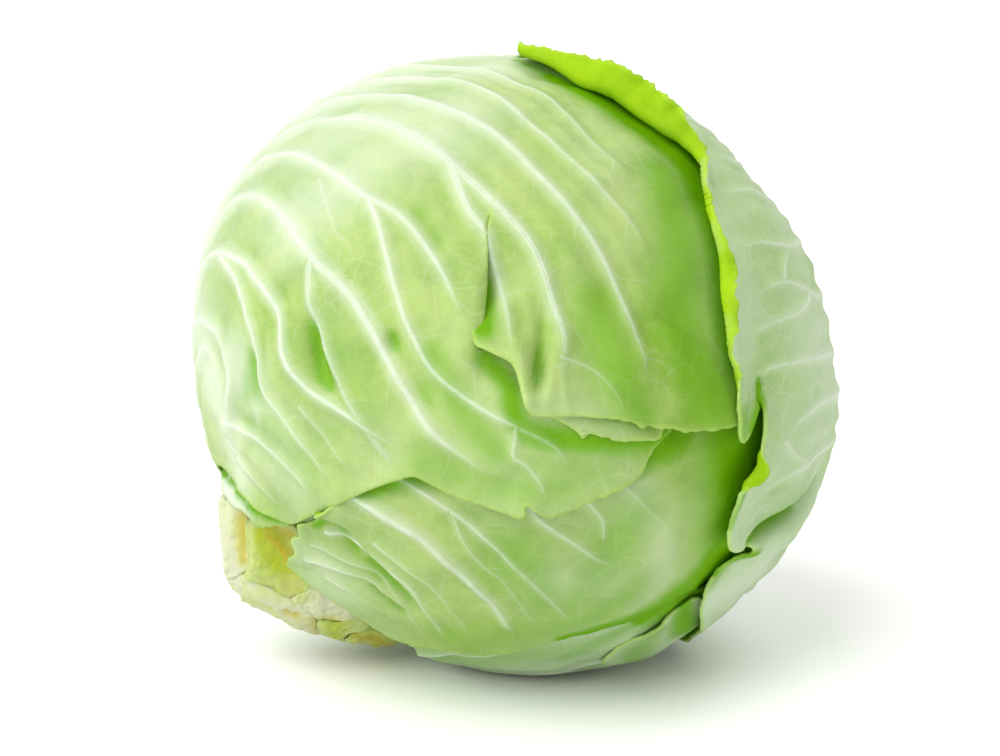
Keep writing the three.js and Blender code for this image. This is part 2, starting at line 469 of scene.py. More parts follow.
def margin_line(rows, seam):
    """A blade's free edge: rows of east, north, stand-off, ragged, collar and lean, then the
    outward direction. Stand-off, ragged and collar are millimetres; the lean is in degrees."""
    padded = np.array([tuple(row) + (0.0,) * (6 - len(row)) for row in rows], dtype=float)
    line = curve_through(padded, MARGIN_STEP)
    line[:, 2:][np.abs(line[:, 2:]) < 1e-3] = 0.0  # rounding left over where a column ends
    line[:, 3:5] = np.maximum(line[:, 3:5], 0.0)
    run = np.gradient(line[:, :2], axis=0)
    way = np.pad(np.stack([run[:, 1], -run[:, 0]]), ((0, 0), (MARGIN_WINDOW // 2,) * 2), mode="edge")
    kernel = np.ones(MARGIN_WINDOW) / MARGIN_WINDOW
    way = unit(np.stack([np.convolve(column, kernel, mode="valid") for column in way], axis=1))
    x, y = np.vstack([line[:, :2], seam]).T
    if (x * np.roll(y, -1) - y * np.roll(x, -1)).sum() < 0:
        way = -way
    return np.hstack([line, way])


def torn_outline(margin, seed):
    """The margin's collar and its small irregular teeth, beyond the smooth line."""
    length = np.cumsum(np.hypot(*np.gradient(margin[:, :2], axis=0).T)) * DEGREE
    dice = np.random.default_rng(seed)
    teeth = np.zeros(len(margin))
    for wavelength, share in TOOTH_WAVES:
        marks = np.arange(0, length[-1] + 20, TOOTH_PATCH)
        drift = np.interp(length, marks, dice.uniform(-4.5, 4.5, len(marks)))
        strength = np.interp(length, marks, dice.uniform(0.2, 1.0, len(marks)))
        teeth += share * strength * np.sin(2 * math.pi * length / wavelength + drift)
    reach = margin[:, 4] + margin[:, 3] * teeth
    return margin[:, :2] + margin[:, 6:8] * (reach / DEGREE)[:, None]


COLLAR_BEND = 1.3  # largest radius in millimetres at a collar's foot
LEAST_COLLAR = 0.4  # a lower collar, in millimetres, is only a longer margin
LEAST_LEAN = 0.1  # and so is one that leans less than this, in radians
SETTLE_LENGTH = 5.0  # a stand-off settles over this many millimetres inside the margin
SETTLE_SHARE = 1.6  # and over so many more for each millimetre of it


def stand_collar(chart, foot, past, lift, ruffle, seed):
    """Places on a collar, past the margin's foot: a bend outwards, then a straight, wavy rim."""
    flat, way = foot[:, :2], foot[:, 6:8]
    collar, lean = foot[:, 4], np.radians(foot[:, 5])
    directions = chart.wrap(flat)
    base = on_head(directions, lift)
    ahead = unit(on_head(chart.wrap(flat + way * 0.3), lift) - base)
    up = unit(directions - ahead * (directions * ahead).sum(1)[:, None])
    wobble = ruffle * layered_waves(base, RUFFLE_WAVES, seed)
    angle = lean * (1 + wobble * smooth(past / np.maximum(collar, 1)))
    radius = np.minimum(0.5 * collar / angle, COLLAR_BEND)
    turned = np.minimum(past / radius, angle)
    straight = np.maximum(past - radius * angle, 0)
    along = radius * np.sin(turned) + straight * np.cos(angle)
    away = radius * (1 - np.cos(turned)) + straight * np.sin(angle)
    return base + ahead * along[:, None] + up * away[:, None]


def place_sheet(chart, flat, lift, margin, inside, ruffle, seed):
    """Places of a sheet on the head, and how far each lies from the rim. Near its margin the sheet
    may stand off, and a collar beyond the margin leans out."""
    apart, foot, _ = nearest_on(margin, flat)
    depth = apart * DEGREE * np.where(inside, 1.0, -1.0)
    stand, collar, lean = foot[:, 2], foot[:, 4], np.radians(foot[:, 5])
    reach = SETTLE_LENGTH + SETTLE_SHARE * np.abs(stand)
    lift = lift + stand * (1 - smooth(np.maximum(depth, 0) / reach)) ** 1.5
    places = on_head(chart.wrap(flat), lift)
    bent = (depth < 0) & (collar > LEAST_COLLAR) & (lean > LEAST_LEAN)
    if bent.any():
        places[bent] = stand_collar(chart, foot[bent], -depth[bent], lift[bent], ruffle, seed)
    return places, np.where(inside, depth + collar, np.maximum(collar + depth, 0))


def vein_relief(offset, width, ridge):
    """Height across a main vein: the raised vein, a hollow beside it and a rise between veins."""
    across = np.abs(offset)
    height = ridge * (0.3 + 0.5 * np.minimum(width, 1.8)) * smooth(width / 0.4)
    relief = height * bell(across / (0.7 + width))
    relief -= 0.4 * smooth(width / 0.5) * bell((across - 1.5 * width - 2.6) / 2.0)
    return relief + 0.5 * smooth((across - 2.0) / 9.0)


EDGE_BAND = 30.0  # distances from the rim are stored up to this, in millimetres
HOLLOW_SHADE = 0.6  # how deep the painted shade's green is in a hollow of the relief
WELD = 0.02  # millimetres within which a leaf's blades join at their seam


def cut_leaf(spec):
    """A leaf's blades cut flat, one over the other, with each blade's margin and closed ring."""
    bm = bmesh.new()
    storey_layer = bm.verts.layers.int.new("storey")
    margins = []
    for storey, (rows, seam) in enumerate(spec["blades"]):
        seam = np.array(seam, dtype=float).reshape(-1, 2)
        margin = margin_line(rows, seam)
        outline = torn_outline(margin, spec["seed"] + storey)
        cut_grid(bm, *spec["grid"], np.vstack([outline, seam]), storey_layer, storey)
        margins.append((margin, np.vstack([margin[:, :2], seam])))
    flat = np.array([v.co[:2] for v in bm.verts])
    return bm, flat, np.array([v[storey_layer] for v in bm.verts]), margins


def close_leaf(bm, flat):
    """Keeps the flat drawing as the leaf's UV map, joins the blades at their seam, faces them out."""
    uv_layer = bm.loops.layers.uv.new("blade")
    for vert, spot in zip(bm.verts, flat * UV_SCALE):
        for loop in vert.link_loops:
            loop[uv_layer].uv = spot
    bmesh.ops.remove_doubles(bm, verts=[v for v in bm.verts if v.is_boundary], dist=WELD * MM)
    bmesh.ops.recalc_face_normals(bm, faces=bm.faces)
    middle = Vector(MIDDLE * MM)
    if sum(face.normal.dot(face.calc_center_median() - middle) for face in bm.faces) < 0:
        bmesh.ops.reverse_faces(bm, faces=bm.faces)


def leaf_object(name, spec, materials):
    """One leaf: cut flat, wrapped on the head with its relief, and given its thickness."""
    spec = PLAIN_LEAF | spec
    chart = Chart(*spec["middle"])
    bm, flat, storey, margins = cut_leaf(spec)
    directions = chart.wrap(flat)
    grown = directions * ACROSS_RADIUS
    main, twigs = vein_nets(chart, spec["veins"], spec["seed"])
    offset, width, _ = main.measure(grown, main.nearest(grown))
    relief = vein_relief(offset, width, spec["ridge"]) + rumple(directions)
    relief += layered_waves(grown, LEAF_WAVES, spec["seed"] + 1)
    relief += relief_height(flat, storey, spec["relief"])
    lift = LAYER_PITCH * (spec["layer"] + 1) + swell(directions, spec["swells"])
    above = directions[:, 2] * (heart_radius(directions) + lift) + FOOT_DEPTH
    relief *= smooth(above / PRESSED)
    lift += spec["extra"](flat, storey) + relief

    places = np.zeros((len(flat), 3))
    edge = np.zeros(len(flat))
    for level, (margin, ring) in enumerate(margins):
        own = storey == level
        inside = is_inside(ring, flat[own])
        places[own], edge[own] = place_sheet(
            chart, flat[own], lift[own], margin, inside, spec["ruffle"], spec["seed"] + 5
        )
    # Painted shade: the lower the relief, the deeper the green, as shade falls in hollows.
    hollow_shade = HOLLOW_SHADE * smooth(-(relief + 0.2) / 2.4)
    write_verts(bm, places, {
        "edge_mm": np.minimum(edge, EDGE_BAND),
        "shade": np.maximum(painted(flat, storey, spec["shade"]), hollow_shade),
        # Pale patches: partly paler tissue, partly painted light.
        "pale_and_lit": painted(flat, storey, spec["pale_and_lit"]),
        "inner_shade": painted(flat, storey, spec["inner_shade"]),
    })
    close_leaf(bm, flat)
    leaf = link_mesh(name, bm, materials)
    draw_veins(leaf.data, chart, main, twigs)
    wall = leaf.modifiers.new("thickness", "SOLIDIFY")
    wall.thickness = spec["thickness"] * MM
    wall.offset = -1.0
    wall.material_offset = 1
    wall.material_offset_rim = 0
    return leaf


def draw_veins(mesh, chart, main, twigs):
    """Writes where each face corner lies beside its vein and its twig."""
    spots = np.empty(2 * len(mesh.loops))
    mesh.uv_layers["blade"].data.foreach_get("uv", spots)
    corners = np.empty(len(mesh.polygons), dtype=int)
    mesh.polygons.foreach_get("loop_total", corners)
    face = np.repeat(np.arange(len(corners)), corners)
    places = chart.wrap(spots.reshape(-1, 2) / UV_SCALE) * ACROSS_RADIUS
    side, half, crease = main.corner_measure(places, face)
    twig_side, twig_half, _ = twigs.corner_measure(places, face)
    numbers = {
        "vein_side": side, "vein_half": half, "vein_crease": crease,
        "twig_side": twig_side, "twig_half": twig_half,
    }
    for key, values in numbers.items():
        mesh.attributes.new(key, "FLOAT", "CORNER").data.foreach_set("value", values.astype(np.float32))


# ---------------------------------------------------------------- each leaf's own shape
# A leaf is drawn in degrees of arc on its own chart, whose middle is given as azimuth and elevation.
# It has one or more blades, each a margin and the seam that closes it, which lie over each other as
# storeys 0, 1 and so on. A margin's rows are east and north, then stand-off, ragged and collar in
# millimetres, and the collar's lean in degrees; what a row leaves out is 0. A vein is its half width
# at the start and at the end in millimetres, its crease and its path. Relief is as relief_height
# says. The shade patches are painted shade, where the leaf lies in shade under or beside another;
# the pale patches are partly paler tissue and partly painted light. Both are as painted says.

PLAIN_LEAF = {
    "thickness": 0.8, "ridge": 1.0, "ruffle": 0.1, "swells": [], "relief": [], "shade": [], "pale_and_lit": [],
    "inner_shade": [], "extra": lambda flat, storey: 0.0,
}

SEAM_EAST = 17.0  # where the front leaf's two large blades join, so a grid line lies on it


def torn_lift(flat, storey):
    """Right of the tear the leaf rides over what lies left of it, and beside the fold it dips."""
    east, north = flat[:, 0], flat[:, 1]
    over = 2.0 * smooth((-2.0 - north) / 10.0)
    dip = 2.2 * bell((east - 20.0) / 3.2) * bell((north + 4.5) / 5.5)
    tucked = -1.4 * smooth((east - 18.0) / 3.0) * smooth((north + 21.0) / 5.0)
    return np.choose(storey, [tucked, over - dip, np.full(len(flat), 0.9)])


# Left of the tear and below it.
FRONT_LEFT_MARGIN = [
    (17, 86), (-12, 90), (-40, 88, 0.5), (-68, 82, 1), (-88, 64, 1), (-102, 32, 1), (-106, 0, 1),
    (-98, -28, 0.5), (-86, -44), (-74, -50), (-66, -47), (-58, -41.5), (-53, -39.6, 0.1), (-48, -39.4, 0.3),
    (-42.6, -40.8, 0.7, 0, 0.6, 30), (-34, -44.8, 1.0, 0, 1.2, 50), (-28.5, -47.6, 1.0, 0, 1.0, 50),
    (-21, -49.6, 0.9), (-14, -46.8, 0.8), (-7, -43.8, 0.8), (2, -39.6, 1), (9.4, -36, 1.4),
    (12.5, -36.6, 1.2, 0.1), (17, -38.6, 1, 0.1), (22, -39.6, 1, 0.2), (27, -40.6, 1.5, 0.3),
    (29.4, -40, 2.4, 0.2), (29.4, -38.2, 1.5, 0.1), (31, -39, 1.5, 0.2), (33, -40, 1.4, 0.4),
    (35.5, -39.2, 1.2, 0.4), (40, -36.6, 1, 0.5), (45, -33.4, 0.8, 0.5), (47.5, -31.4, 0.8, 0.5),
    (49.5, -28.5, 0.4, 0.4), (51, -24.5, 0.2, 0.3), (55, -18), (52, -11), (40, -9), (30, -9.5), (23, -11.5),
    (19.8, -14.2, 0.2), (19.9, -10, 0.4), (19.5, -5, 0.4), (18.6, 0, 0.2), (17.4, 4.5), (17, 7), (17, 9),
]
# Right of the tear, with the fold.
FRONT_RIGHT_MARGIN = [
    (17, 9), (17, 7), (17.2, 3), (17.6, -2), (18, -8), (18.8, -13.2, 0.2), (21, -14.2, 0.8),
    (23.2, -14.9, 1.0), (25, -15.6, 1.0), (26.2, -17.4, 1.0), (27.2, -20, 1.1), (28.2, -22.2, 1.0),
    (29.6, -23, 0.9), (32, -22.7, 0.9), (36, -21.9, 0.8, 0.1), (41, -21.2, 0.8, 0.3), (45, -21, 0.9, 0.6),
    (48, -21.2, 1, 0.8), (52, -20.4, 1.2, 0.8), (56, -20.2, 1, 0.7), (60, -19, 0.8, 0.5),
    (65.5, -16.5, 0.5, 0.3), (70, -12), (77, -5), (79, 10), (75, 30), (64, 54), (46, 72), (30, 81), (17, 86),
]
# The flap tucked under the fold.
FRONT_FLAP_MARGIN = [
    (31, -19), (32, -22.5, 0, 0), (34, -23.4), (36.2, -24.2), (38, -25.3, 0, 0.1), (39, -24.4, 0, 0.3),
    (41, -24.6, 0.2, 0.5), (44, -24.6, 0.3, 0.6), (47, -23.8, 0.3, 0.6), (50, -23.4, 0.2, 0.4),
    (51.5, -22, 0, 0.2), (50, -18), (40, -17),
]
FRONT_LEAF = {
    "slot": "pale_leaf", "middle": (-25, 30), "layer": 2, "seed": 11, "thickness": 0.75,
    "grid": (lattice(-108, 82, -54, 68, 0.62, 1.6, SEAM_EAST), lattice(-54, 92, -50, 50, 0.62, 1.6)),
    "extra": torn_lift,
    "blades": [
        (FRONT_LEFT_MARGIN, [(17, 30), (17, 60)]),
        (FRONT_RIGHT_MARGIN, [(17, 60), (17, 30)]),
        (FRONT_FLAP_MARGIN, []),
    ],
    "veins": [
        (3.6, 1.0, 0, [(-64, -46), (-66, -35), (-67, -16), (-64, 3), (-57, 21), (-48, 37), (-36, 51),
            (-23, 62), (-7, 71), (10, 77)]),
        (1.6, 0.5, 0.3, [(-60, -12), (-53, 3), (-44, 12.5), (-34, 12), (-23, 7), (-12, -2), (-4, -7.5),
            (2, -14), (8, -22), (14, -29), (23, -34), (25, -32), (27, -30.5)]),
        (0.7, 0.4, 0.6, [(-12, -2), (-11, -7), (-10, -11), (-6, -17.5), (-2, -24), (4, -31), (8.5, -37)]),
        (1.3, 0.5, 0.2, [(-60, 2), (-50, 15), (-38, 21), (-27, 19.5), (-20, 17), (-12, 13), (-5, 9),
            (3, 5.5), (11, -2), (16, -9), (18.5, -13)]),
        (0.7, 0.4, 0, [(-4, 8.5), (0, 3), (3, -3), (6, -9), (9, -14), (13, -19), (20, -23), (27, -25.5),
            (34, -28), (37, -33)]),
        (1.4, 0.5, 0.5, [(-56, 14), (-45, 25), (-32, 29), (-22, 27.5), (-16, 27), (-9, 25), (4, 19),
            (15, 12), (23, 6), (27, 1), (30, -5), (32.5, -10), (33, -16), (34, -19.5), (35, -22)]),
        (0.9, 0.35, 0.4, [(8, 16.5), (13, 9), (17, 5), (19, 1), (21.5, -4), (23.2, -8), (24.4, -12),
            (25.2, -15)]),
        (1.3, 0.4, 0.3, [(-52, 22), (-40, 32), (-26, 35), (-13, 33), (-2, 31), (11, 26), (21, 19), (31, 11),
            (40, 0.5), (46, -11), (45, -16), (47, -19)]),
        (1.1, 0.3, 0.2, [(-46, 31), (-32, 39), (-18, 42), (-6, 41), (6, 37), (16, 31), (29, 22), (40, 14),
            (46, 5)]),
        (1.0, 0.25, 0, [(-38, 41), (-22, 47), (-6, 49), (8, 44), (20, 38), (30, 30), (40, 22)]),
        (0.8, 0.2, 0, [(-30, 50), (-12, 55), (2, 55), (10, 53)]),
        (1.3, 0.5, 0, [(-62, -18), (-56, -4), (-49, 2), (-42, 2), (-34, 0), (-27, -3.5), (-18, -11),
            (-16, -18), (-10, -24), (0, -28), (6, -31), (9, -35)]),
        (0.9, 0.3, 0, [(-39, 1), (-34, -2.5), (-29, -7), (-25, -14), (-22, -24), (-17, -29), (-12, -34),
            (-4, -41)]),
        (1.0, 0.5, 0.3, [(-62, -26), (-56, -16), (-50, -10), (-40, -12), (-34, -16), (-31, -22), (-34, -31),
            (-35, -37)]),
        (0.8, 0.4, 0, [(-60, -31), (-52, -21), (-43, -16), (-37, -23), (-36, -30), (-39, -36)]),
        (0.7, 0.3, 0, [(-35, -30), (-30, -32), (-24, -34), (-15, -39), (-11, -43)]),
        (0.6, 0.3, 0, [(-37, -34), (-34, -38), (-28, -43), (-24, -47)]),
        (0.4, 0.2, 0, [(-12, -27), (-7, -32), (-1, -38)]),
        (0.45, 0.3, 0, [(27, -25.5), (27, -28), (27, -30.5), (29, -31.5), (31.5, -34), (33, -37)]),
        (0.35, 0.2, 0, [(-15, 12), (-11, 6), (-8, 2), (-5, 0), (-2.5, -4)]),
        (0.35, 0.2, 0, [(32.5, -13), (38, -14), (42, -17), (44, -20)]),
        (0.9, 0.3, 0, [(-68, -14), (-78, -8), (-86, 2), (-94, 14)]),
        (0.9, 0.3, 0, [(-66, 2), (-76, 12), (-84, 26), (-88, 42)]),
        (0.9, 0.3, 0, [(-60, 17), (-69, 30), (-74, 46), (-76, 62)]),
        (0.9, 0.3, 0, [(-52, 31), (-58, 46), (-60, 62), (-56, 78)]),
        (0.8, 0.3, 0, [(-40, 47), (-43, 60), (-40, 74), (-32, 84)]),
        (0.9, 0.3, 0, [(-66, -30), (-78, -28), (-88, -22), (-98, -12)]),
    ],
    "relief": [
        ("round", 0, [(-11.5, -10.5, -0.4, 2.0), (-9.8, -14.5, -3.6, 1.8), (-8.4, -19, -4.2, 1.9),
            (-6.4, -22.5, -2.4, 2.2), (-5, -25, -0.3, 2.4)]),
        ("round", 0, [(4.4, -13, -0.6, 1.2), (5.2, -15, -2.0, 1.2), (6, -17.4, -0.6, 1.4)]),
        ("sharp", 0, [(-12, -5, 0.2, 2.0), (-10, -10, 0.9, 2.0), (-5.5, -18.5, 1.6, 2.2),
            (-1, -24.5, 2.1, 2.4), (5, -32, 2.2, 2.6), (9, -37.5, 2.0, 2.6)]),
        ("round", 0, [(15.8, 5, 0.2, 2.4), (17, 0, 1.4, 2.8), (18, -6, 2.1, 3.0), (18, -11.5, 1.7, 3.0),
            (16.4, -17, 0.8, 2.6), (15, -22, 0.2, 2.6)]),
        ("round", 1, [(22, -6, 0.3, 1.6), (24, -10, 1.2, 1.5), (25.6, -13, 2.0, 1.5), (27.2, -17, 2.4, 1.4),
            (28.4, -21, 2.0, 1.3)]),
        ("round", 1, [(29, -4, -0.3, 1.3), (29.2, -9, -1.6, 1.3), (29.4, -14, -2.8, 1.2),
            (29.6, -18.5, -2.2, 1.1)]),
        ("round", 1, [(30, -7, 0.3, 1.3), (31, -11, 1.3, 1.3), (31.2, -15, 1.9, 1.3), (31, -20, 1.5, 1.3)]),
        ("sharp", 1, [(24, 5, 0.3, 1.4), (27, 1, 0.8, 1.6), (30, -5, 0.9, 1.6), (32.6, -10, 1.0, 1.6),
            (33.2, -15.5, 1.0, 1.6), (34.6, -21, 0.6, 1.6)]),
        ("round", 1, [(38, -17, -0.8, 3.0), (37, -10, -1.0, 3.0)]),
        ("round", 1, [(42, -6, 0.8, 3.5), (45, -14, 0.9, 3.5)]),
        ("round", 0, [(-43, -20, -1.6, 5.0), (-44, -30, -1.4, 5.0)]),
        ("round", 0, [(-31, -12, 1.2, 2.6), (-31.5, -22, 1.8, 2.4), (-35, -31, 1.5, 2.4)]),
        ("round", 0, [(-25, -20, -1.2, 3.0), (-27, -30, -1.0, 3.4)]),
        ("round", 0, [(-22, -40, 0.6, 5.0), (-12, -40, 0.5, 5.0)]),
        ("round", 0, [(18, -33, -1.0, 3.0), (26, -35.5, -1.2, 2.4)]),
        ("round", 0, [(-2, 1, 0.9, 4.0), (8, -8, 0.9, 4.0)]),
        ("round", 0, [(8, 2, -0.9, 3.0), (12, -5, -0.8, 3.0)]),
        ("round", 0, [(-40, 6, -0.9, 3.0), (-30, 4, -0.9, 3.0), (-22, 1, -0.7, 3.0)]),
    ],
    "shade": [
        (1, 1.0, [(75, -14, 9.0), (67, 0, 9.5), (62, 14, 9.5), (57, 26, 8.5)]),
        (None, 1.0, [(57, 26, 8.5), (52, 34, 8.0), (47, 40, 7.4), (43, 41.6, 7.0), (34, 44, 5.6),
            (25, 46.4, 4.0), (18, 49.4, 2.8), (13, 52.4, 1.8)]),
        (None, 0.6, [(25, 46, 4.0), (16, 50.5, 3.2), (8, 54.6, 2.4), (3, 58, 1.6)]),
        (1, 0.6, [(60, -14, 10.0), (52, -2, 9.0), (49, 14, 8.0), (43, 30, 6.0)]),
        (1, 0.55, [(46, -19, 5.0), (40, -10, 6.5), (37, -2, 6.0)]),
        (1, 0.2, [(28, -4, 5.0), (30, 12, 8.0), (24, 24, 6.0)]),
        (0, 0.35, [(40, -30, 7.0), (28, -32, 5.0)]),
        (0, 0.3, [(-21, -31, 4.5), (-12, -38, 4.0)]),
        (0, 0.28, [(-5, -17, 6.0), (2, -26, 6.0)]),
        (1, 0.4, [(42, -16, 5.0), (36, -8, 4.0)]),
        (1, 0.35, [(29, -8, 1.2), (29.4, -17, 1.6)]),
        (0, 0.75, [(21, -15.5, 2.4), (25, -19, 2.4), (29, -26, 3.0), (42, -25, 3.5), (52, -22, 4.0)]),
        (0, 0.5, [(12, -16, 3.0), (18, -24, 4.0), (24, -30, 4.0)]),
        (1, 0.4, [(18.4, 3, 0.8), (19.2, -3, 1.6)]),
        (1, 0.85, [(19.2, -3, 1.0), (19.6, -7, 1.8), (20, -11, 2.2)]),
        (0, 0.6, [(-10, -13, 1.2), (-7.4, -21, 2.0)]),
        (0, 0.4, [(5, -13.5, 1.2), (5.6, -16, 1.2)]),
        (0, 0.4, [(12, -33, 5.0), (24, -36, 4.0), (36, -34, 4.0)]),
        (2, 0.5, [(40, -20, 3.0), (48, -20, 3.0)]),
    ],
    # Pale patches: paler tissue along the midrib, and painted light where the light falls strongest, at the
    # upper left.
    "pale_and_lit": [
        (None, 1.0, [(-66, -20, 9.0), (-63, 4, 14.0), (-56, 22, 15.0), (-47, 38, 15.0), (-34, 51, 14.0),
            (-20, 62, 13.0), (-2, 70, 10.0)]),
        (0, 0.6, [(-40, 25, 12.0), (-25, 38, 12.0), (0, 50, 10.0)]),
        (0, 0.45, [(-20, 22, 10.0), (2, 30, 9.0)]),
        (0, 0.7, [(-52, -8, 9.0), (-44, -18, 8.0), (-38, -28, 8.0), (-36, -40, 6.0)]),
        (0, 0.6, [(-26, -26, 5.5), (-30, -18, 5.0)]),
        (0, 0.45, [(-18, 4, 8.0), (-8, 14, 8.0), (2, 22, 8.0)]),
        (0, 0.3, [(-30, -36, 7.0), (-16, -40, 6.0), (-24, -22, 6.0)]),
    ],
}


def lower_sink(flat, storey):
    """Where the front leaf covers it, this leaf lies closer to the heart."""
    return -1.0 * smooth((flat[:, 1] - 17.0) / 8.0)


LOWER_MARGIN = [
    (-12, 30), (-16, 18), (-19, 12, 0.6, 0.1), (-21, 8.6, 1.6, 0.1, 1.5, 60), (-23.5, 7, 2.0, 0.2, 1.8, 90),
    (-25, 5, 1.6, 0.2, 0.6, 40), (-27.5, 3.4, 1.5, 0.3), (-30, 1.6, 2.2, 0.5), (-30.6, -1.5, 2.2, 0.6),
    (-33.2, -4, 2.6, 0.7), (-32.4, -7, 2.8, 0.7), (-35.6, -11, 3.2, 0.6), (-35.5, -14, 3.2, 0.4),
    (-31, -16.5, 2.4, 0.3), (-27.5, -19.5, 1.6, 0.2), (-24, -23.5, 1.0, 0.2), (-19, -28, 0.5, 0.2),
    (-12, -30, 0.3, 0.1), (-3, -27, 0.2, 0.1), (9, -23.5, 0, 0.1), (17, -20.5, -0.4, 0.1),
    (23, -19.4, -0.8, 0.1), (31, -18.8, -1.2, 0.1), (41, -18.4, -1.6, 0.1), (51, -15.4, -1.8, 0.1),
    (58, -5, -2.6), (59, 3, -2.6), (62, 10, -1.6), (62, 17, -1.2), (57, 24, -1), (46, 29), (32, 33),
    (18, 34), (2, 35),
]
LOWER_LEAF = {
    "slot": "pale_leaf", "middle": (-10, -25), "layer": 1, "seed": 23, "thickness": 0.75,
    "grid": (lattice(-46, 66, -40, 52, 0.45, 1.2), lattice(-34, 38, -30, 22, 0.45, 1.2)),
    "extra": lower_sink,
    "blades": [(LOWER_MARGIN, [])],
    "veins": [
        (0.9, 0.5, 0.4, [(-22, 16), (-17, 12.5), (-12, 10), (-6, 7), (-2, 3), (3, -3), (6, -9), (9, -19)]),
        (0.65, 0.3, 0.2, [(-16, 20), (-8, 17), (0, 12), (7, 5), (14, -5), (18, -13), (20, -17)]),
        (0.7, 0.3, 0.2, [(0, 20), (6, 17), (12, 14), (15, 10), (20, 5), (24, 0), (28, -4)]),
        (0.5, 0.3, 0, [(20, 16), (23, 12), (25, 8), (25, 3)]),
        (0.4, 0.2, 0, [(20, 20), (28, 15), (33, 8), (37, 2)]),
        (0.6, 0.3, 0, [(-24, 2), (-19, 2), (-14, -1), (-9, -5), (-7, -10), (-4, -23)]),
        (0.5, 0.25, 0, [(-30, -8), (-23, -7.5), (-18, -8), (-14, -11.5), (-11, -15), (-9, -21)]),
        (0.45, 0.2, 0, [(-27, -12), (-21, -14), (-16, -18), (-13, -23)]),
        (0.4, 0.2, 0, [(-28, -3), (-22, -4), (-17, -5.5), (-14, -8), (-10, -16), (-8, -24)]),
        (0.4, 0.2, 0, [(-14, 3), (-10, 0), (-5, -4), (-2, -10), (1, -19)]),
        (0.35, 0.2, 0, [(0, 12), (2, 6), (5, 1), (8, -2), (11, -10), (13, -18)]),
    ],
    "relief": [
        ("sharp", 0, [(-16, 12.5, 0.9, 1.8), (-12, 10, 1.2, 1.8), (-6, 7, 1.1, 1.6), (-2, 3, 1.0, 1.4),
            (3, -3, 0.7, 1.2), (8, -14, 0.3, 1.0)]),
        ("step", 0, [(-22.5, 7.5, 1.6, 5.0), (-19, 5.5, 2.2, 4.5), (-17.3, 3, 2.2, 4.5),
            (-14.5, 0, 1.9, 4.0), (-11, -4, 1.4, 4.0), (-8, -9, 0.9, 3.5), (-5, -16, 0.2, 3.0)]),
        ("round", 0, [(-15.5, -3, -1.4, 1.6), (-11.5, -8.5, -1.6, 1.5), (-8.5, -13, -0.8, 1.6)]),
        ("round", 0, [(-22, 3.5, -1.4, 1.8), (-20, -1, -1.3, 2.0)]),
        ("round", 0, [(-17, -11, -1.0, 1.2), (-12, -15, -1.1, 1.1)]),
        ("round", 0, [(-20, -13, 0.8, 1.8), (-14, -18, 0.8, 1.8)]),
        ("round", 0, [(-2, -2, -1.1, 1.5), (1, -8, -1.1, 1.5), (3, -15, -0.6, 1.6)]),
        ("round", 0, [(3, 3, 0.7, 1.8), (9, -6, 0.8, 1.8)]),
        ("round", 0, [(30, 14, 1.0, 4.0), (31, 2, 1.4, 4.0), (30, -8, 1.2, 4.0)]),
    ],
    "shade": [
        (None, 0.9, [(-16, 14, 3.0), (-8, 18, 3.5), (4, 20, 4.0), (12, 17, 4.5), (24, 19, 4.5),
            (40, 20, 5.0)]),
        (None, 1.0, [(54, 24, 12.0), (54, 10, 12.0), (53, -4, 12.0), (48, -14, 9.0), (34, -20.6, 4.0)]),
        (None, 0.3, [(41, 14, 6.0), (41, 0, 5.0), (40, -10, 5.0)]),
        (None, 1.0, [(50, -8, 8.5), (45, -13, 6.0), (38, -16.5, 5.2), (31, -18.4, 4.4), (24, -19.4, 3.4),
            (17, -20.4, 2.2)]),
        (None, 0.42, [(-2, -20, 8.0), (14, -16, 8.0), (28, -10, 8.0)]),
        (None, 0.45, [(10, 4, 7.0), (18, -10, 8.0), (31, 8, 7.0)]),
        (None, 0.22, [(-14, 4, 6.0), (-2, -12, 7.0), (6, -20, 6.0)]),
        (None, 0.6, [(-15.5, -3, 1.8), (-11.5, -8.5, 1.6)]),
        (None, 0.6, [(-21, 4, 1.8), (-19.5, -1, 1.8)]),
        (None, 0.7, [(-24, 5, 1.2), (-26, 3.2, 1.2)]),
        (None, 0.35, [(6, 0, 4.0), (14, -10, 5.0)]),
    ],
    "pale_and_lit": [
        (None, 0.35, [(-28, -8, 6.0), (-26, -16, 5.0)]),
        (None, 0.3, [(16, -4, 5.0), (24, -6, 5.0)]),
        (None, 0.3, [(31, 12, 4.0), (34, 2, 3.5), (35, -8, 3.5), (30, -14, 3.5)]),
    ],
}

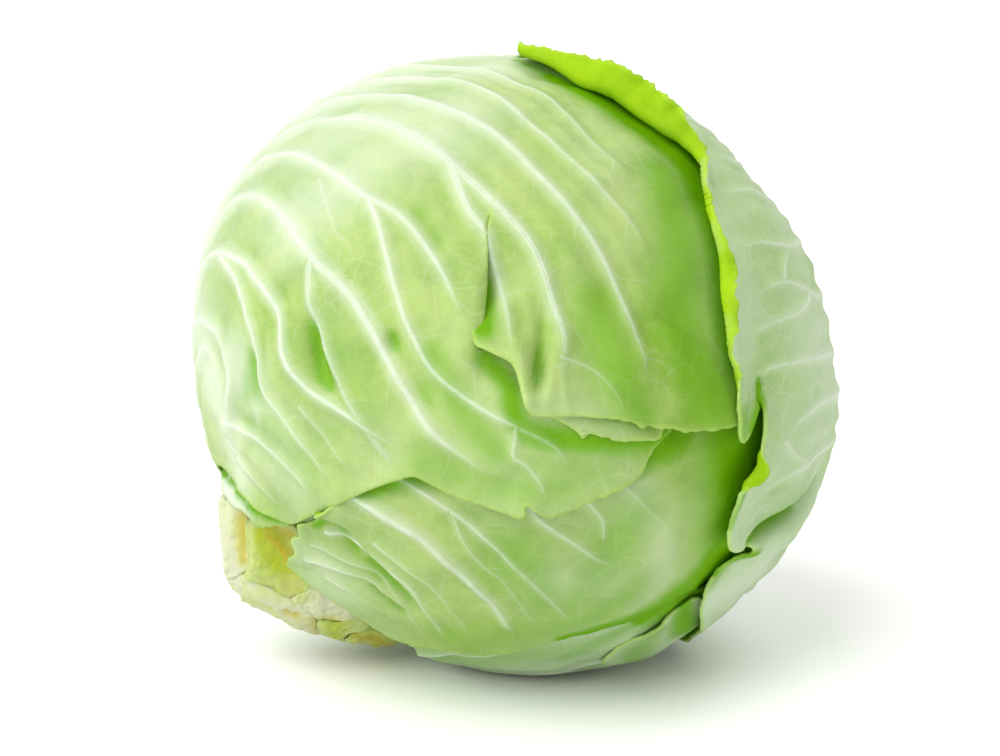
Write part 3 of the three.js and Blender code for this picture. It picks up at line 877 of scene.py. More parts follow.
BOTTOM_MARGIN = [
    (-30, 20), (-14, 34, -0.6), (10, 38, -0.8), (30, 32, -0.8), (44, 18, -0.8), (52, 0, -0.8),
    (50, -24, -0.4), (38, -44), (16, -56), (-6, -54), (-22, -42), (-28, -31), (-25, -22), (-20, -12),
    (-22, -2), (-30, 8),
]
BOTTOM_LEAF = {
    "slot": "outer_leaf", "middle": (20, -75), "layer": 0, "seed": 31,
    "grid": (lattice(-38, 56, -30, 40, 0.8, 1.4), lattice(-60, 42, 0, 40, 0.6, 1.2)),
    "blades": [(BOTTOM_MARGIN, [])],
    "veins": [
        (3.0, 1.0, 0, [(-24, -16), (-10, -14), (6, -10), (24, -6), (44, -2)]),
        (1.2, 0.4, 0, [(-22, -12), (-12, 0), (2, 12), (14, 22)]),
        (1.2, 0.4, 0, [(-8, -12), (6, -2), (20, 10), (30, 22)]),
        (1.0, 0.4, 0, [(8, -9), (22, 0), (36, 10)]),
        (1.2, 0.4, 0, [(-22, -20), (-12, -30), (0, -42), (8, -52)]),
        (1.1, 0.4, 0, [(-6, -14), (8, -24), (20, -38)]),
        (1.0, 0.4, 0, [(10, -9), (24, -18), (36, -30)]),
        (0.8, 0.3, 0, [(-26, -8), (-22, 6), (-14, 20), (-6, 32)]),
    ],
    "shade": [
        (None, 0.8, [(14, 36, 8.0), (30, 30, 13.0), (46, 14, 16.0), (54, -8, 10.0)]),
        (None, 1.0, [(20, 40, 3.5), (14, 38, 3.5), (9, 35, 3.0)]),
        (None, 0.5, [(14, 38, 4.0), (8, 34, 4.0), (3, 29, 4.0), (-2, 23, 4.0)]),
        (None, 0.4, [(-22, 4, 7.0), (-13, 18, 7.0), (0, 26, 8.0)]),
    ],
}

BASE_MARGIN = [
    (29, 17.2, 2.5, 0.3), (23.5, 17.8, 3.6, 0.4), (18.5, 17.8, 4.2, 0.3), (16.5, 19.8, 4.6, 0.2),
    (8, 21.6, 5.0, 0.2), (0, 22.6, 5.0, 0.1), (-7, 24.6, 4.6), (-12, 29, 3.8), (-15, 36, 2.0), (-8, 48),
    (8, 54), (24, 48), (34, 36), (35, 24),
]
BASE_LEAF = {
    "slot": "pale_leaf", "middle": STEM_WAY, "layer": 0, "seed": 37, "thickness": 0.9,
    "grid": (lattice(-18, 40, -18, 40, 0.6, 1.0), lattice(14, 60, 14, 40, 0.6, 1.0)),
    "blades": [(BASE_MARGIN, [])],
    "veins": [
        (1.2, 0.4, 0, [(6, 24), (8, 34), (12, 46)]),
        (0.8, 0.3, 0, [(16, 22), (20, 32), (26, 42)]),
        (0.8, 0.3, 0, [(-4, 26), (-5, 36), (-2, 48)]),
    ],
    "shade": [
        (None, 1.0, [(29, 18.8, 1.4), (24, 20.6, 1.4), (19, 22.8, 1.5), (12.5, 26.4, 1.6)]),
        (None, 1.0, [(24, 20.4, 1.4), (18.6, 21.8, 1.5), (14.4, 23.4, 1.4), (11, 24.8, 1.2),
            (6.6, 25.8, 1.0), (2, 26, 0.8), (-3, 25.4, 0.6)]),
    ],
    "pale_and_lit": [
        (None, 0.8, [(16, 21, 2.5), (4, 24, 3.0), (-8, 26, 3.0)]),
    ],
}


def tucked_lift(flat, storey):
    """The right leaf's lowest part lies beneath its fold."""
    return np.where(storey == 1, -1.9, 0.0)


# From the top down the front edge with its collar, along the underside, and back up behind.
RIGHT_MARGIN = [
    (12, 78, 1, 0.4), (3, 81, 1, 0.4), (-4, 86.6, 1.2, 0.3), (-8.4, 90.8, 0.8, 0.5, 2.6, 90),
    (-13, 91.6, 0.6, 0.7, 3.8, 98), (-18.8, 90, 0.2, 0.8, 5.2, 104), (-24.6, 87.8, 0, 0.9, 6.4, 108),
    (-31.6, 84.8, 0, 1.0, 7.8, 110), (-37.4, 80.6, 0, 1.0, 9, 112), (-43.7, 75, 0, 1.0, 9.6, 112),
    (-48.5, 68.4, 0, 0.9, 9.2, 114), (-51.4, 63.2, 0.4, 0.8, 6.6, 118), (-54.6, 59.4, 1.4, 0.6, 4, 128),
    (-59, 57.4, 2.6, 0.5, 2.2, 138), (-65, 55, 3, 0.5, 1.7, 150), (-71.5, 50.6, 3, 0.5, 1.8, 155),
    (-77, 45, 3, 0.6, 2.8, 156), (-82, 38, 3.2, 0.7, 4.4, 156), (-85.6, 32, 3.2, 0.8, 4.8, 156),
    (-88.4, 25, 3.2, 0.7, 3.2, 152), (-90.2, 20, 3, 0.5, 1.8, 145), (-91, 14, 3, 0.4, 1.6, 120),
    (-91.6, 7, 2.6, 0.3, 0.7, 60), (-91.6, 1, 2.2, 0.2), (-91.2, -3, 2, 0.1), (-90.2, -5, 1.8),
    (-88.9, -3, 1.8), (-88, -0.5, 1.6), (-86.9, 3, 1.4), (-86, 4.6, 1.2), (-85.6, 2, 1.6), (-85.9, -2, 2.2),
    (-86.3, -6, 2.6, 0.1, 0.8, 60), (-86.8, -10, 3, 0.1, 3.4, 140), (-87.6, -13, 3, 0.1, 4.6, 155),
    (-88.6, -15.6, 2.8, 0.1, 2, 120), (-88.6, -19, 2.6, 0.2), (-87.6, -24, 2.4, 0.2), (-86, -29, 2.6, 0.2),
    (-83.6, -32.6, 3.0, 0.1), (-81, -33.2, 3.2, 0.1), (-78.6, -32.2, 2.4, 0), (-76.4, -32.4, 1.8, 0),
    (-75.2, -34.2, 1.6, 0), (-76.6, -35.8, 1.6), (-77.6, -39, 1.8, 0.2), (-76.4, -43.5, 1.8, 0.3),
    (-73, -48.5, 1.4, 0.2), (-67, -52.6, 0.9, 0.2, 0.8, 40), (-61, -55.6, 0.7, 0.3, 1.0, 50),
    (-56, -57.6, 0.4, 0.3, 0.5, 30), (-51, -59, 0.2, 0.3), (-44, -60.5, 0.2, 0.3), (-34, -62, 0.3, 0.4),
    (-20, -62, 0.5, 0.5), (0, -62, 0.5, 0.5), (20, -64, 0.5, 0.4), (36, -78, 0.3, 0.2), (46, -92), (53, -98),
    (70, -89), (92, -62, 0.5, 0.2), (104, -26, 1.5, 0.5), (94, 20, 2, 0.7), (72, 54, 2, 0.7),
    (48, 70, 1.5, 0.6), (26, 76, 1, 0.5),
]
# The lowest part, beneath the fold.
RIGHT_FOLD_MARGIN = [
    (-69, -50.6), (-71.4, -51.4), (-71.6, -54.4, 0.5, 0.3), (-70.4, -58.6, 0.7, 0.5), (-68.4, -63, 0.7, 0.6),
    (-67, -67, 0.6, 0.5), (-63.6, -72.4, 0.4, 0.4), (-57.4, -77.6, 0.2, 0.2), (-50, -79), (-42, -74),
    (-40, -64), (-48, -59.6), (-56, -56), (-63, -52.6),
]
RIGHT_LEAF = {
    "slot": "outer_leaf", "middle": (130, 0), "layer": 3, "seed": 47, "ridge": 0.6, "ruffle": 0.14,
    "swells": [(75, 5, 2.0, 34), (40, -55, -2.6, 38), (20, 62, 0.5, 22)],
    "grid": (lattice(-100, 112, -98, -44, 0.55, 1.4), lattice(-104, 112, -78, 102, 0.7, 1.5)),
    "extra": tucked_lift,
    "blades": [
        (RIGHT_MARGIN, []),
        (RIGHT_FOLD_MARGIN, []),
    ],
    "veins": [
        (3.8, 1.0, 0, [(56, -94), (46, -76), (38, -56), (28, -34), (18, -12), (8, 8), (-2, 26), (-12, 42),
            (-22, 58), (-30, 72)]),
        (1.2, 0.35, 0, [(43, -66), (24, -58), (2, -50), (-20, -46), (-42, -46), (-58, -50)]),
        (1.2, 0.35, 0, [(40, -60), (20, -46), (-4, -36), (-26, -31), (-48, -32), (-66, -38)]),
        (1.3, 0.4, 0, [(34, -46), (12, -32), (-12, -21), (-32, -14), (-52, -12), (-68, -14), (-78, -18),
            (-84, -24)]),
        (1.3, 0.4, 0, [(28, -34), (8, -20), (-14, -9), (-34, -4), (-52, -2), (-68, -2), (-76, -4),
            (-83, -11)]),
        (1.2, 0.35, 0, [(24, -25), (4, -10), (-16, 0), (-36, 4), (-54, 6), (-72, 9.5), (-82, 10.5), (-87, 6),
            (-88.5, 1)]),
        (1.2, 0.35, 0, [(18, -13), (0, 0), (-18, 9), (-36, 14.5), (-50, 17), (-58, 20.5), (-67, 26.5),
            (-75, 28), (-83, 29)]),
        (0.6, 0.3, 0, [(-58, 20.5), (-66, 19), (-74, 20), (-84, 20.5)]),
        (0.6, 0.3, 0, [(-67, 26.5), (-64, 29), (-58, 31)]),
        (1.1, 0.35, 0, [(12, 0), (-6, 12), (-22, 20), (-38, 26), (-50, 29), (-58, 32), (-66, 36.5),
            (-76, 41)]),
        (1.0, 0.3, 0, [(7, 10), (-8, 21), (-22, 29), (-36, 35), (-50, 44), (-61, 50), (-66, 51.5)]),
        (1.0, 0.3, 0, [(1, 21), (-12, 31), (-24, 38), (-34, 45), (-44, 52), (-52, 57)]),
        (0.9, 0.3, 0, [(-6, 32), (-16, 43), (-26, 54), (-36, 63), (-44, 67)]),
        (1.2, 0.35, 0, [(44, -70), (60, -64), (76, -54), (90, -38)]),
        (1.2, 0.35, 0, [(39, -58), (56, -48), (72, -34), (86, -14), (94, 2)]),
        (1.2, 0.35, 0, [(33, -44), (50, -32), (64, -16), (76, 4), (84, 24)]),
        (1.2, 0.35, 0, [(26, -30), (42, -18), (54, -2), (64, 18), (70, 40)]),
        (1.1, 0.35, 0, [(20, -16), (34, -4), (44, 12), (52, 32), (56, 54)]),
        (1.1, 0.35, 0, [(12, -2), (26, 10), (34, 26), (40, 46), (42, 68)]),
        (1.0, 0.3, 0, [(5, 14), (16, 26), (22, 42), (26, 60), (26, 80)]),
        (0.9, 0.3, 0, [(-3, 28), (6, 40), (10, 56), (12, 76)]),
        (0.8, 0.3, 0, [(-12, 43), (-6, 56), (-3, 72), (-3, 88)]),
        (0.9, 0.3, 0, [(48, -78), (30, -74), (10, -66), (-8, -62)]),
        (0.5, 0.2, 0, [(-79, -6), (-74, -11), (-69, -13), (-60, -14)]),
    ],
    "relief": [
        ("round", 0, [(-52, -16.5, -0.2, 2.0), (-59, -20, -2.4, 1.7), (-67, -24.6, -4.0, 1.7),
            (-74, -28.6, -4.0, 1.5), (-78.4, -31.2, -1.6, 1.3)]),
        ("round", 0, [(-50, -21, 0.2, 4.0), (-59, -24.6, 1.4, 3.0), (-67, -29.4, 2.2, 3.0),
            (-73, -33, 1.8, 2.4)]),
        ("round", 0, [(-87.5, -8, -0.6, 1.2), (-84, -9, -0.6, 1.2)]),
        ("round", 0, [(-84, 8, -1.2, 1.2), (-86, 5, -1.6, 1.1)]),
        ("round", 0, [(-78, -38, -1.8, 4.5), (-76, -45, -1.8, 4.5), (-70, -52, -0.8, 4.0)]),
        ("round", 0, [(-60, -6, 0.8, 6.0), (-70, -8, 0.8, 5.0)]),
    ],
    "shade": [
        (0, 0.35, [(-56, -18.6, 0.8), (-64, -22.8, 1.5)]),
        (0, 0.85, [(-66, -24, 1.4), (-74, -28.6, 2.0), (-78, -31, 1.4)]),
        (0, 0.35, [(-66, -21, 3.5), (-76, -27, 3.5)]),
        (1, 0.8, [(-72, -53, 3.0), (-66, -57, 4.0), (-58, -60, 4.5)]),
        (1, 0.5, [(-68, -62, 4.0), (-62, -68, 5.0), (-54, -72, 5.0), (-46, -72, 5.0)]),
        (0, 0.8, [(-74.5, -34, 1.6), (-76.4, -37, 1.8), (-77, -42, 1.6)]),
        (None, 0.9, [(-84.4, 9, 1.2), (-86.6, 3, 1.8), (-88.4, -2, 1.6)]),
        (None, 0.6, [(-88, -17, 1.2), (-87, -27, 1.4)]),
        (None, 0.5, [(-90.6, 3, 2.0), (-90, -4, 1.6)]),
    ],
    "inner_shade": [
        (None, 0.35, [(-14, 92, 0.5), (-24.6, 88, 0.8), (-37.4, 81, 1.0), (-43.7, 75.4, 1.1),
            (-48.5, 68.8, 1.2), (-52, 63.4, 1.2)]),
    ],
    "pale_and_lit": [
        (None, 0.8, [(-60, 57.2, 1.4), (-66, 54.6, 1.4)]),
        (None, 0.7, [(-76, 46.4, 1.2), (-80, 41.4, 1.0)]),
        (None, 0.6, [(-88, 26.4, 1.2), (-90.8, 15, 1.2)]),
        (None, 0.4, [(-70, -50, 8.0), (-62, -40, 8.0)]),
        (None, 0.8, [(50, -84, 12.0), (34, -46, 12.0), (10, 6, 9.0), (-14, 46, 6.0)]),
    ],
}

LEAVES = {
    "bottom_leaf": BOTTOM_LEAF,
    "base_leaf": BASE_LEAF,
    "lower_leaf": LOWER_LEAF,
    "front_leaf": FRONT_LEAF,
    "right_leaf": RIGHT_LEAF,
}


# ---------------------------------------------------------------- stem and stalks
# The stem and the stalks were trimmed with one knife, so their cut ends share one blunt cone
# with a slanted flat top. An outline is in degrees round the stem. A bump on a cut end is a path
# of (east, north, height, width), like a leaf's relief. Ripe and stained patches are a strength
# and a path with its width.


def trimmed_lift(flat):
    """Height of the trimmed surface over the heart, in millimetres."""
    east, north = flat[:, 0], flat[:, 1]
    stretch = np.where(north > 3, 1.25, 1.45)
    cone = 24 - 1.08 * np.hypot((east + 1) / 0.85, (north - 3) / stretch)
    top = 17.2 + 0.43 * north - 0.1 * np.abs(east)
    blunt = 1.2
    return -blunt * np.log(np.exp(-cone / blunt) + np.exp(-top / blunt))


def ring_path(radius, width, count=13):
    """A closed round path about the stem's middle."""
    turns = np.linspace(0, 2 * math.pi, count)
    return [(radius * math.cos(t), radius * math.sin(t), width) for t in turns]


STALKS = {
    "stem_stump": {
        "slot": "cut_stem", "seed": 3,
        "outline": [(-9, 0), (-8, 5.5), (-4.5, 9.4), (0, 8.7), (4.8, 8.7), (8.0, 5.2), (9.8, 1.4), (10, -2),
            (9.4, -4.8), (4.4, -8.8), (-1, -9.4), (-6.5, -6.5)],
        "bumps": [[(7.4, -0.6, -1.3, 0.8), (7.9, -1.6, -1.1, 0.8)], [(-5, -2, 0.6, 3.0), (0, 4, 0.5, 3.0)],
            [(5, 5, 0.5, 1.4), (8.4, 0.5, 0.5, 1.4), (6, -6, 0.6, 1.6)]],
        "ripe": [(0.35, [(7, 5.4, 1.2), (9.6, 2, 1.4)]), (0.45, ring_path(5.6, 0.6))],
        "stain": [(1.0, [(7.3, -0.8, 0.8), (8.0, -1.8, 0.7)]),
            (0.6, [(9.6, -4.6, 0.9), (7, -6.6, 0.9), (4, -8.6, 1.0)])],
    },
    "stalk_left": {
        "slot": "cut_stem", "seed": 5,
        "outline": [(-9.5, 8.4), (-5, 10.0), (0, 8.6), (4.6, 8.9), (6.9, 10.4), (8.2, 15), (7.6, 19.4),
            (2, 21.5), (-6, 19.5), (-10.5, 14)],
        "bumps": [[(1, 8.6, 0.8, 1.6), (3.2, 13, 0.9, 1.6), (5.2, 19, 0.8, 1.8)],
            [(6.2, 10.4, -0.8, 1.0), (7.4, 15, -1.5, 1.1), (7.6, 19, -1.0, 1.1)]],
        "ripe": [(0.5, [(5.8, 11, 1.0), (7.4, 18, 1.2)])],
        "stain": [(0.85, [(6.0, 11, 0.9), (6.9, 14, 1.2), (7.4, 18.6, 1.1)])],
    },
    "stalk_middle": {
        "slot": "leaf_stalk", "seed": 7,
        "outline": [(7.1, 10.6), (5.2, 8.5), (8.0, 5.3), (10.2, 1.4), (15.5, 1.0), (20, 4.6), (24.4, 10.6),
            (25.4, 15), (21.4, 18.6), (13.5, 17.8), (8.6, 17.4)],
        "bumps": [[(10.8, 15.5, 0.9, 1.4), (9.0, 10.5, 1.3, 1.3), (6.2, 8.0, 0.8, 1.1)],
            [(14, 12, -1.6, 1.8), (12.6, 7, -2.0, 2.0), (11.4, 3.2, -1.2, 1.6)],
            [(12.6, 14.6, 1.2, 0.9), (14.4, 11.8, 2.4, 1.0), (16.4, 9, 3.6, 1.3), (18, 6.4, 4.4, 1.6)]],
        "ripe": [(2.0, [(12.6, 14.4, 1.8), (13.4, 11, 2.8), (13.4, 8, 2.8)])],
        "stain": [(1.0, [(13.2, 13.8, 0.9), (14.4, 11.6, 1.2), (16.4, 9, 1.7), (18, 6, 1.8)]),
            (1.1, [(14, 16.4, 1.4), (17.4, 14.4, 2.0), (21.6, 12.8, 3.0)]),
            (0.4, [(11.6, 3.4, 2.4), (15, 4.4, 2.6)])],
    },
    "stalk_lower": {
        "slot": "cut_stem", "seed": 9,
        "outline": [(10.0, 1.1), (15.5, 0.8), (17.5, -4), (15, -9.4), (11.4, -7.9), (9.6, -5), (10.1, -2)],
        "bumps": [[(12.4, -3.5, 0.6, 1.8)], [(11, -6.4, -0.8, 0.9)]],
        "ripe": [(0.6, [(12, 0.4, 1.6)])],
        "stain": [(0.8, [(10.6, -5.4, 0.9), (12, -7.4, 1.1)])],
    },
    "stalk_green": {
        "slot": "leaf_stalk", "seed": 13,
        "outline": [(4.4, -9.2), (9.4, -5.5), (11.4, -8.0), (14.6, -9.8), (12.4, -13.6), (9.6, -11.8),
            (5, -12.4)],
        "bumps": [[(9.6, -7.4, 1.0, 1.2), (11, -10, 0.7, 1.4)], [(6.4, -10.6, 0.8, 1.2)]],
        "ripe": [(0.8, [(11, -8.5, 1.6), (5.6, -11, 1.4)])],
    },
    "stalk_grey": {
        "slot": "leaf_stalk", "seed": 17,
        "outline": [(-5, -8.8), (-1, -10.4), (4.4, -12.8), (9.4, -12.4), (11.5, -14.6), (9.4, -20),
            (4, -22.5), (-3, -21), (-8, -14)],
        "bumps": [[(7, -14, 0.9, 1.4), (5, -19, 0.5, 1.8)], [(8.6, -16.4, -0.8, 1.2), (3, -16, -0.6, 1.6)]],
        "ripe": [(0.4, [(6, -14, 1.6)])],
        "stain": [(0.9, [(9.4, -13, 1.4), (9, -17, 2.0), (6, -20.4, 1.8)]),
            (0.6, [(-2, -12, 3.0), (3, -16, 3.0)])],
    },
}

STALK_SIDES = 110
# Heights over the heart in millimetres: a stalk's root, the least height of its wall over that,
# and the least height of a cut end.
STALK_ROOT = 0.2
LEAST_WALL = 0.6
LOWEST_CUT = 1.2
WALL_RINGS = 16
END_RINGS = 22
END_ROUNDING = 0.5  # how far a cut end's rim drops, in millimetres
# Height and wavelength of the flesh's fibres, which run along the stem, and of its lumps.
FIBRES = ((0.22, 2.0), (0.12, 0.9))
LUMPS = ((0.28, 8.0), (0.08, 2.2))


def stalk_object(name, spec, material):
    """A sheet of rings: up the wall from the root, round the rim, and in over the cut end."""
    chart = Chart(*STEM_WAY)
    outline = curve_through(spec["outline"], 0.1, closed=True)
    rings = WALL_RINGS + END_RINGS
    bm = bmesh.new()
    bmesh.ops.create_grid(bm, x_segments=STALK_SIDES, y_segments=rings, size=0.5)
    turn = np.array([v.co.x + 0.5 for v in bm.verts])
    level = np.rint(np.array([v.co.y + 0.5 for v in bm.verts]) * rings)
    rim = outline[np.rint(turn * len(outline)).astype(int) % len(outline)]
    centre = outline.mean(axis=0)
    end = np.clip((level - WALL_RINGS) / END_RINGS, 0, 1)
    size = np.where(level == rings, 0.0, (1 - end) ** 0.8)
    flat = centre + (rim - centre) * size[:, None]
    storey = np.zeros(len(flat))
    bumps = relief_height(flat, storey, [("round", None, path) for path in spec["bumps"]])
    inward = (1 - size) * np.linalg.norm(rim - centre, axis=1) * DEGREE
    drop = END_ROUNDING * (1 - smooth(inward / 1.3)) ** 2
    top = np.maximum(trimmed_lift(flat), LOWEST_CUT) + bumps - drop
    climb = np.clip(level / WALL_RINGS, 0, 1)
    lift = STALK_ROOT + np.maximum(top - STALK_ROOT, LEAST_WALL) * climb
    directions = chart.wrap(flat)
    places = on_head(directions, lift)

    around = places - np.outer(places @ STEM_AXIS, STEM_AXIS)
    seed = spec["seed"]
    rough = layered_waves(places, LUMPS, seed) + layered_waves(around, FIBRES, seed + len(LUMPS))
    rough *= smooth((lift - 1.0) / 3.0)
    away = unit(directions - chart.wrap(np.broadcast_to(centre, flat.shape)))
    places += np.where(end[:, None] > 0, unit(places), away) * rough[:, None]
    write_verts(bm, places, {
        key: painted(flat, storey, [(None, *patch) for patch in spec.get(key, [])])
        for key in ("ripe", "stain")
    })
    bmesh.ops.remove_doubles(bm, verts=bm.verts, dist=0.01 * MM)
    bmesh.ops.contextual_create(bm, geom=[v for v in bm.verts if v.is_boundary])
    bmesh.ops.recalc_face_normals(bm, faces=bm.faces)
    return link_mesh(name, bm, [material])


# ---------------------------------------------------------------- materials


def rgb(red, green, blue):
    """An opaque colour."""
    return (red, green, blue, 1.0)


class Nodes:
    """Short hand for wiring one node tree."""

    def __init__(self, tree):
        self.tree = tree

    def feed(self, socket, value):
        """Links a socket into another, or sets its value."""
        if isinstance(value, bpy.types.NodeSocket):
            self.tree.links.new(value, socket)
        else:
            socket.default_value = value

    def add(self, kind, inputs=None, **settings):
        """A node with its own settings and with what feeds its inputs."""
        node = self.tree.nodes.new(kind)
        for key, value in settings.items():
            setattr(node, key, value)
        for key, value in (inputs or {}).items():
            self.feed(node.inputs[key], value)
        return node

    def math(self, operation, a, b=0.0, clamp=False):
        node = self.add("ShaderNodeMath", {0: a, 1: b}, operation=operation, use_clamp=clamp)
        return node.outputs[0]

    def plus(self, a, b, clamp=False):
        return self.math("ADD", a, b, clamp)

    def times(self, a, b, clamp=False):
        return self.math("MULTIPLY", a, b, clamp)

    def ramp(self, value, low, high, out_low=0.0, out_high=1.0):
        """A soft step: the two ends of the value, then what it gives there."""
        inputs = {"Value": value, "From Min": low, "From Max": high, "To Min": out_low, "To Max": out_high}
        node = self.add("ShaderNodeMapRange", inputs, interpolation_type="SMOOTHSTEP")
        return node.outputs["Result"]

    def mix(self, share, a, b, blend="MIX"):
        node = self.add("ShaderNodeMix", data_type="RGBA", blend_type=blend)
        for index, value in ((0, share), (6, a), (7, b)):
            self.feed(node.inputs[index], value)
        return node.outputs[2]

    def number(self, name):
        """A number stored on the mesh."""
        return self.add("ShaderNodeAttribute", attribute_name=name, attribute_type="GEOMETRY").outputs["Fac"]

    def place(self):
        """The place on the object itself."""
        return self.add("ShaderNodeTexCoord").outputs["Object"]

    def noise(self, place, scale, detail, roughness=0.5, output="Fac"):
        inputs = {"Vector": place, "Scale": scale, "Detail": detail, "Roughness": roughness}
        return self.add("ShaderNodeTexNoise", inputs).outputs[output]

    def net(self, place, scale, randomness):
        """Distance to the lines of an irregular net."""
        inputs = {"Vector": place, "Scale": scale, "Randomness": randomness}
        settings = {"feature": "DISTANCE_TO_EDGE", "voronoi_dimensions": "2D"}
        return self.add("ShaderNodeTexVoronoi", inputs, **settings).outputs["Distance"]

    def bump(self, height, strength, distance):
        inputs = {"Height": height, "Strength": strength, "Distance": distance}
        return self.add("ShaderNodeBump", inputs).outputs["Normal"]

    def group(self, group, inputs):
        """Places a node group with values of its own."""
        return self.add("ShaderNodeGroup", inputs, node_tree=group).outputs

    def surface(self, shader):
        """Ends a material with its shader."""
        self.add("ShaderNodeOutputMaterial", {"Surface": shader.outputs[0]})


def new_group(name, inputs, outputs):
    """An empty node group. Inputs are a name, a type and a default; outputs a name and a type."""
    group = bpy.data.node_groups.new(name, "ShaderNodeTree")
    for label, kind, value in inputs:
        socket = group.interface.new_socket(label, in_out="INPUT", socket_type="NodeSocket" + kind)
        socket.default_value = value
    for label, kind in outputs:
        group.interface.new_socket(label, in_out="OUTPUT", socket_type="NodeSocket" + kind)
    nodes = Nodes(group)
    return nodes, nodes.add("NodeGroupInput").outputs


def vein_group():
    """Main veins from the distances stored on a leaf, and a fine net between them."""
    n, given = new_group(
        "leaf_veins",
        [("Net Size", "Float", 17.0), ("Net Strength", "Float", 0.5)],
        [(label, "Float") for label in ("Vein", "Halo", "Net", "Groove", "Height")],
    )
    side, half, shade = n.math("ABSOLUTE", n.number("vein_side")), n.number("vein_half"), n.number("shade")
    uv = n.add("ShaderNodeUVMap", uv_map="blade").outputs["UV"]

    share = n.math("DIVIDE", side, n.plus(n.times(half, 1.45), 0.1))
    vein = n.times(n.ramp(share, 1.0, 0.0), n.ramp(half, 0.02, 0.8))
    vein = n.times(vein, n.ramp(n.noise(uv, 60.0, 3.0, 0.6), 0.32, 0.6, 0.62, 1.0))
    groove = n.times(n.ramp(share, 0.34, 0.0), n.number("vein_crease"))
    groove = n.times(groove, n.ramp(half, 0.1, 0.3))
    halo_share = n.math("DIVIDE", side, n.plus(n.times(half, 4.0), 0.8))
    halo = n.times(n.ramp(halo_share, 1.0, 0.0), n.ramp(half, 0.08, 0.9))
    halo = n.times(halo, n.ramp(shade, 0.2, 0.9, 1.0, 0.3))

    twig_half = n.number("twig_half")
    twig_share = n.math("DIVIDE", n.math("ABSOLUTE", n.number("twig_side")), n.plus(twig_half, 0.1))
    twig = n.times(n.ramp(twig_share, 1.0, 0.1), n.ramp(twig_half, 0.03, 0.2))

    stir = n.noise(uv, 9.0, 2.0, output="Color")
    moved = n.add("ShaderNodeVectorMath", {0: stir, 1: (0.05, 0.05, 0.05)}, operation="MULTIPLY").outputs[0]
    place = n.add("ShaderNodeVectorMath", {0: uv, 1: moved}, operation="ADD").outputs[0]
    coarse = n.net(place, given["Net Size"], 0.9)
    fine = n.net(place, n.times(given["Net Size"], 2.9), 0.95)
    coarse_line = n.times(n.ramp(coarse, 0.075, 0.0), n.ramp(n.noise(uv, 6.0, 1.0), 0.38, 0.66, 0.1, 0.75))
    fine_line = n.times(n.ramp(fine, 0.11, 0.0), 0.2)
    net = n.times(n.math("MAXIMUM", coarse_line, fine_line), given["Net Strength"])
    net = n.math("MAXIMUM", net, n.times(twig, 0.42))
    net = n.times(net, n.math("SUBTRACT", 1.0, vein, clamp=True))
    net = n.times(net, n.ramp(shade, 0.1, 0.8, 1.0, 0.15))

    height = n.plus(n.times(vein, 0.6), n.times(net, 0.5))
    height = n.math("SUBTRACT", height, n.times(groove, 0.9))
    vein = n.times(vein, n.ramp(shade, 0.3, 1.0, 1.0, 0.3))
    n.add("NodeGroupOutput", {"Vein": vein, "Halo": halo, "Net": net, "Groove": groove, "Height": height})
    return n.tree


def tissue_group():
    """Leaf tissue: mottled colour that follows the leaf, and fine grain."""
    n, given = new_group(
        "leaf_tissue",
        [
            ("Light", "Color", rgb(0.6, 0.8, 0.35)),
            ("Deep", "Color", rgb(0.3, 0.5, 0.1)),
            ("Bloom", "Color", rgb(0.7, 0.8, 0.6)),
            ("Bloom Amount", "Float", 0.4),
        ],
        [("Color", "Color"), ("Grain", "Float")],
    )
    place = n.place()
    middling = n.noise(place, 80.0, 4.0, 0.62)
    broad = n.ramp(n.noise(place, 26.0, 3.0, 0.55), 0.36, 0.66, 0.0, 0.7)
    blend = n.plus(broad, n.ramp(middling, 0.34, 0.66, -0.34, 0.42))
    blend = n.plus(blend, n.ramp(n.noise(place, 330.0, 3.0, 0.6), 0.3, 0.7, -0.14, 0.14), clamp=True)
    colour = n.mix(blend, given["Light"], given["Deep"])
    wax = n.ramp(n.noise(place, 20.0, 5.0, 0.65), 0.34, 0.66, 0.1, 1.5)
    colour = n.mix(n.times(wax, given["Bloom Amount"], clamp=True), colour, given["Bloom"])
    grain = n.plus(n.noise(place, 1500.0, 2.0, 0.6), n.times(middling, 5.0))
    n.add("NodeGroupOutput", {"Color": colour, "Grain": grain})
    return n.tree


def new_material(name):
    """An empty material. It is found again by its name."""
    material = bpy.data.materials.new(name)
    material.use_nodes = True
    material.node_tree.nodes.clear()
    return Nodes(material.node_tree)


BUMP_DEPTH = 0.0005  # in metres


def tissue_inputs(look):
    """What the tissue group takes from a look."""
    inputs = {"Light": "light", "Deep": "deep", "Bloom": "bloom", "Bloom Amount": "bloom_amount"}
    return {label: look[key] for label, key in inputs.items()}


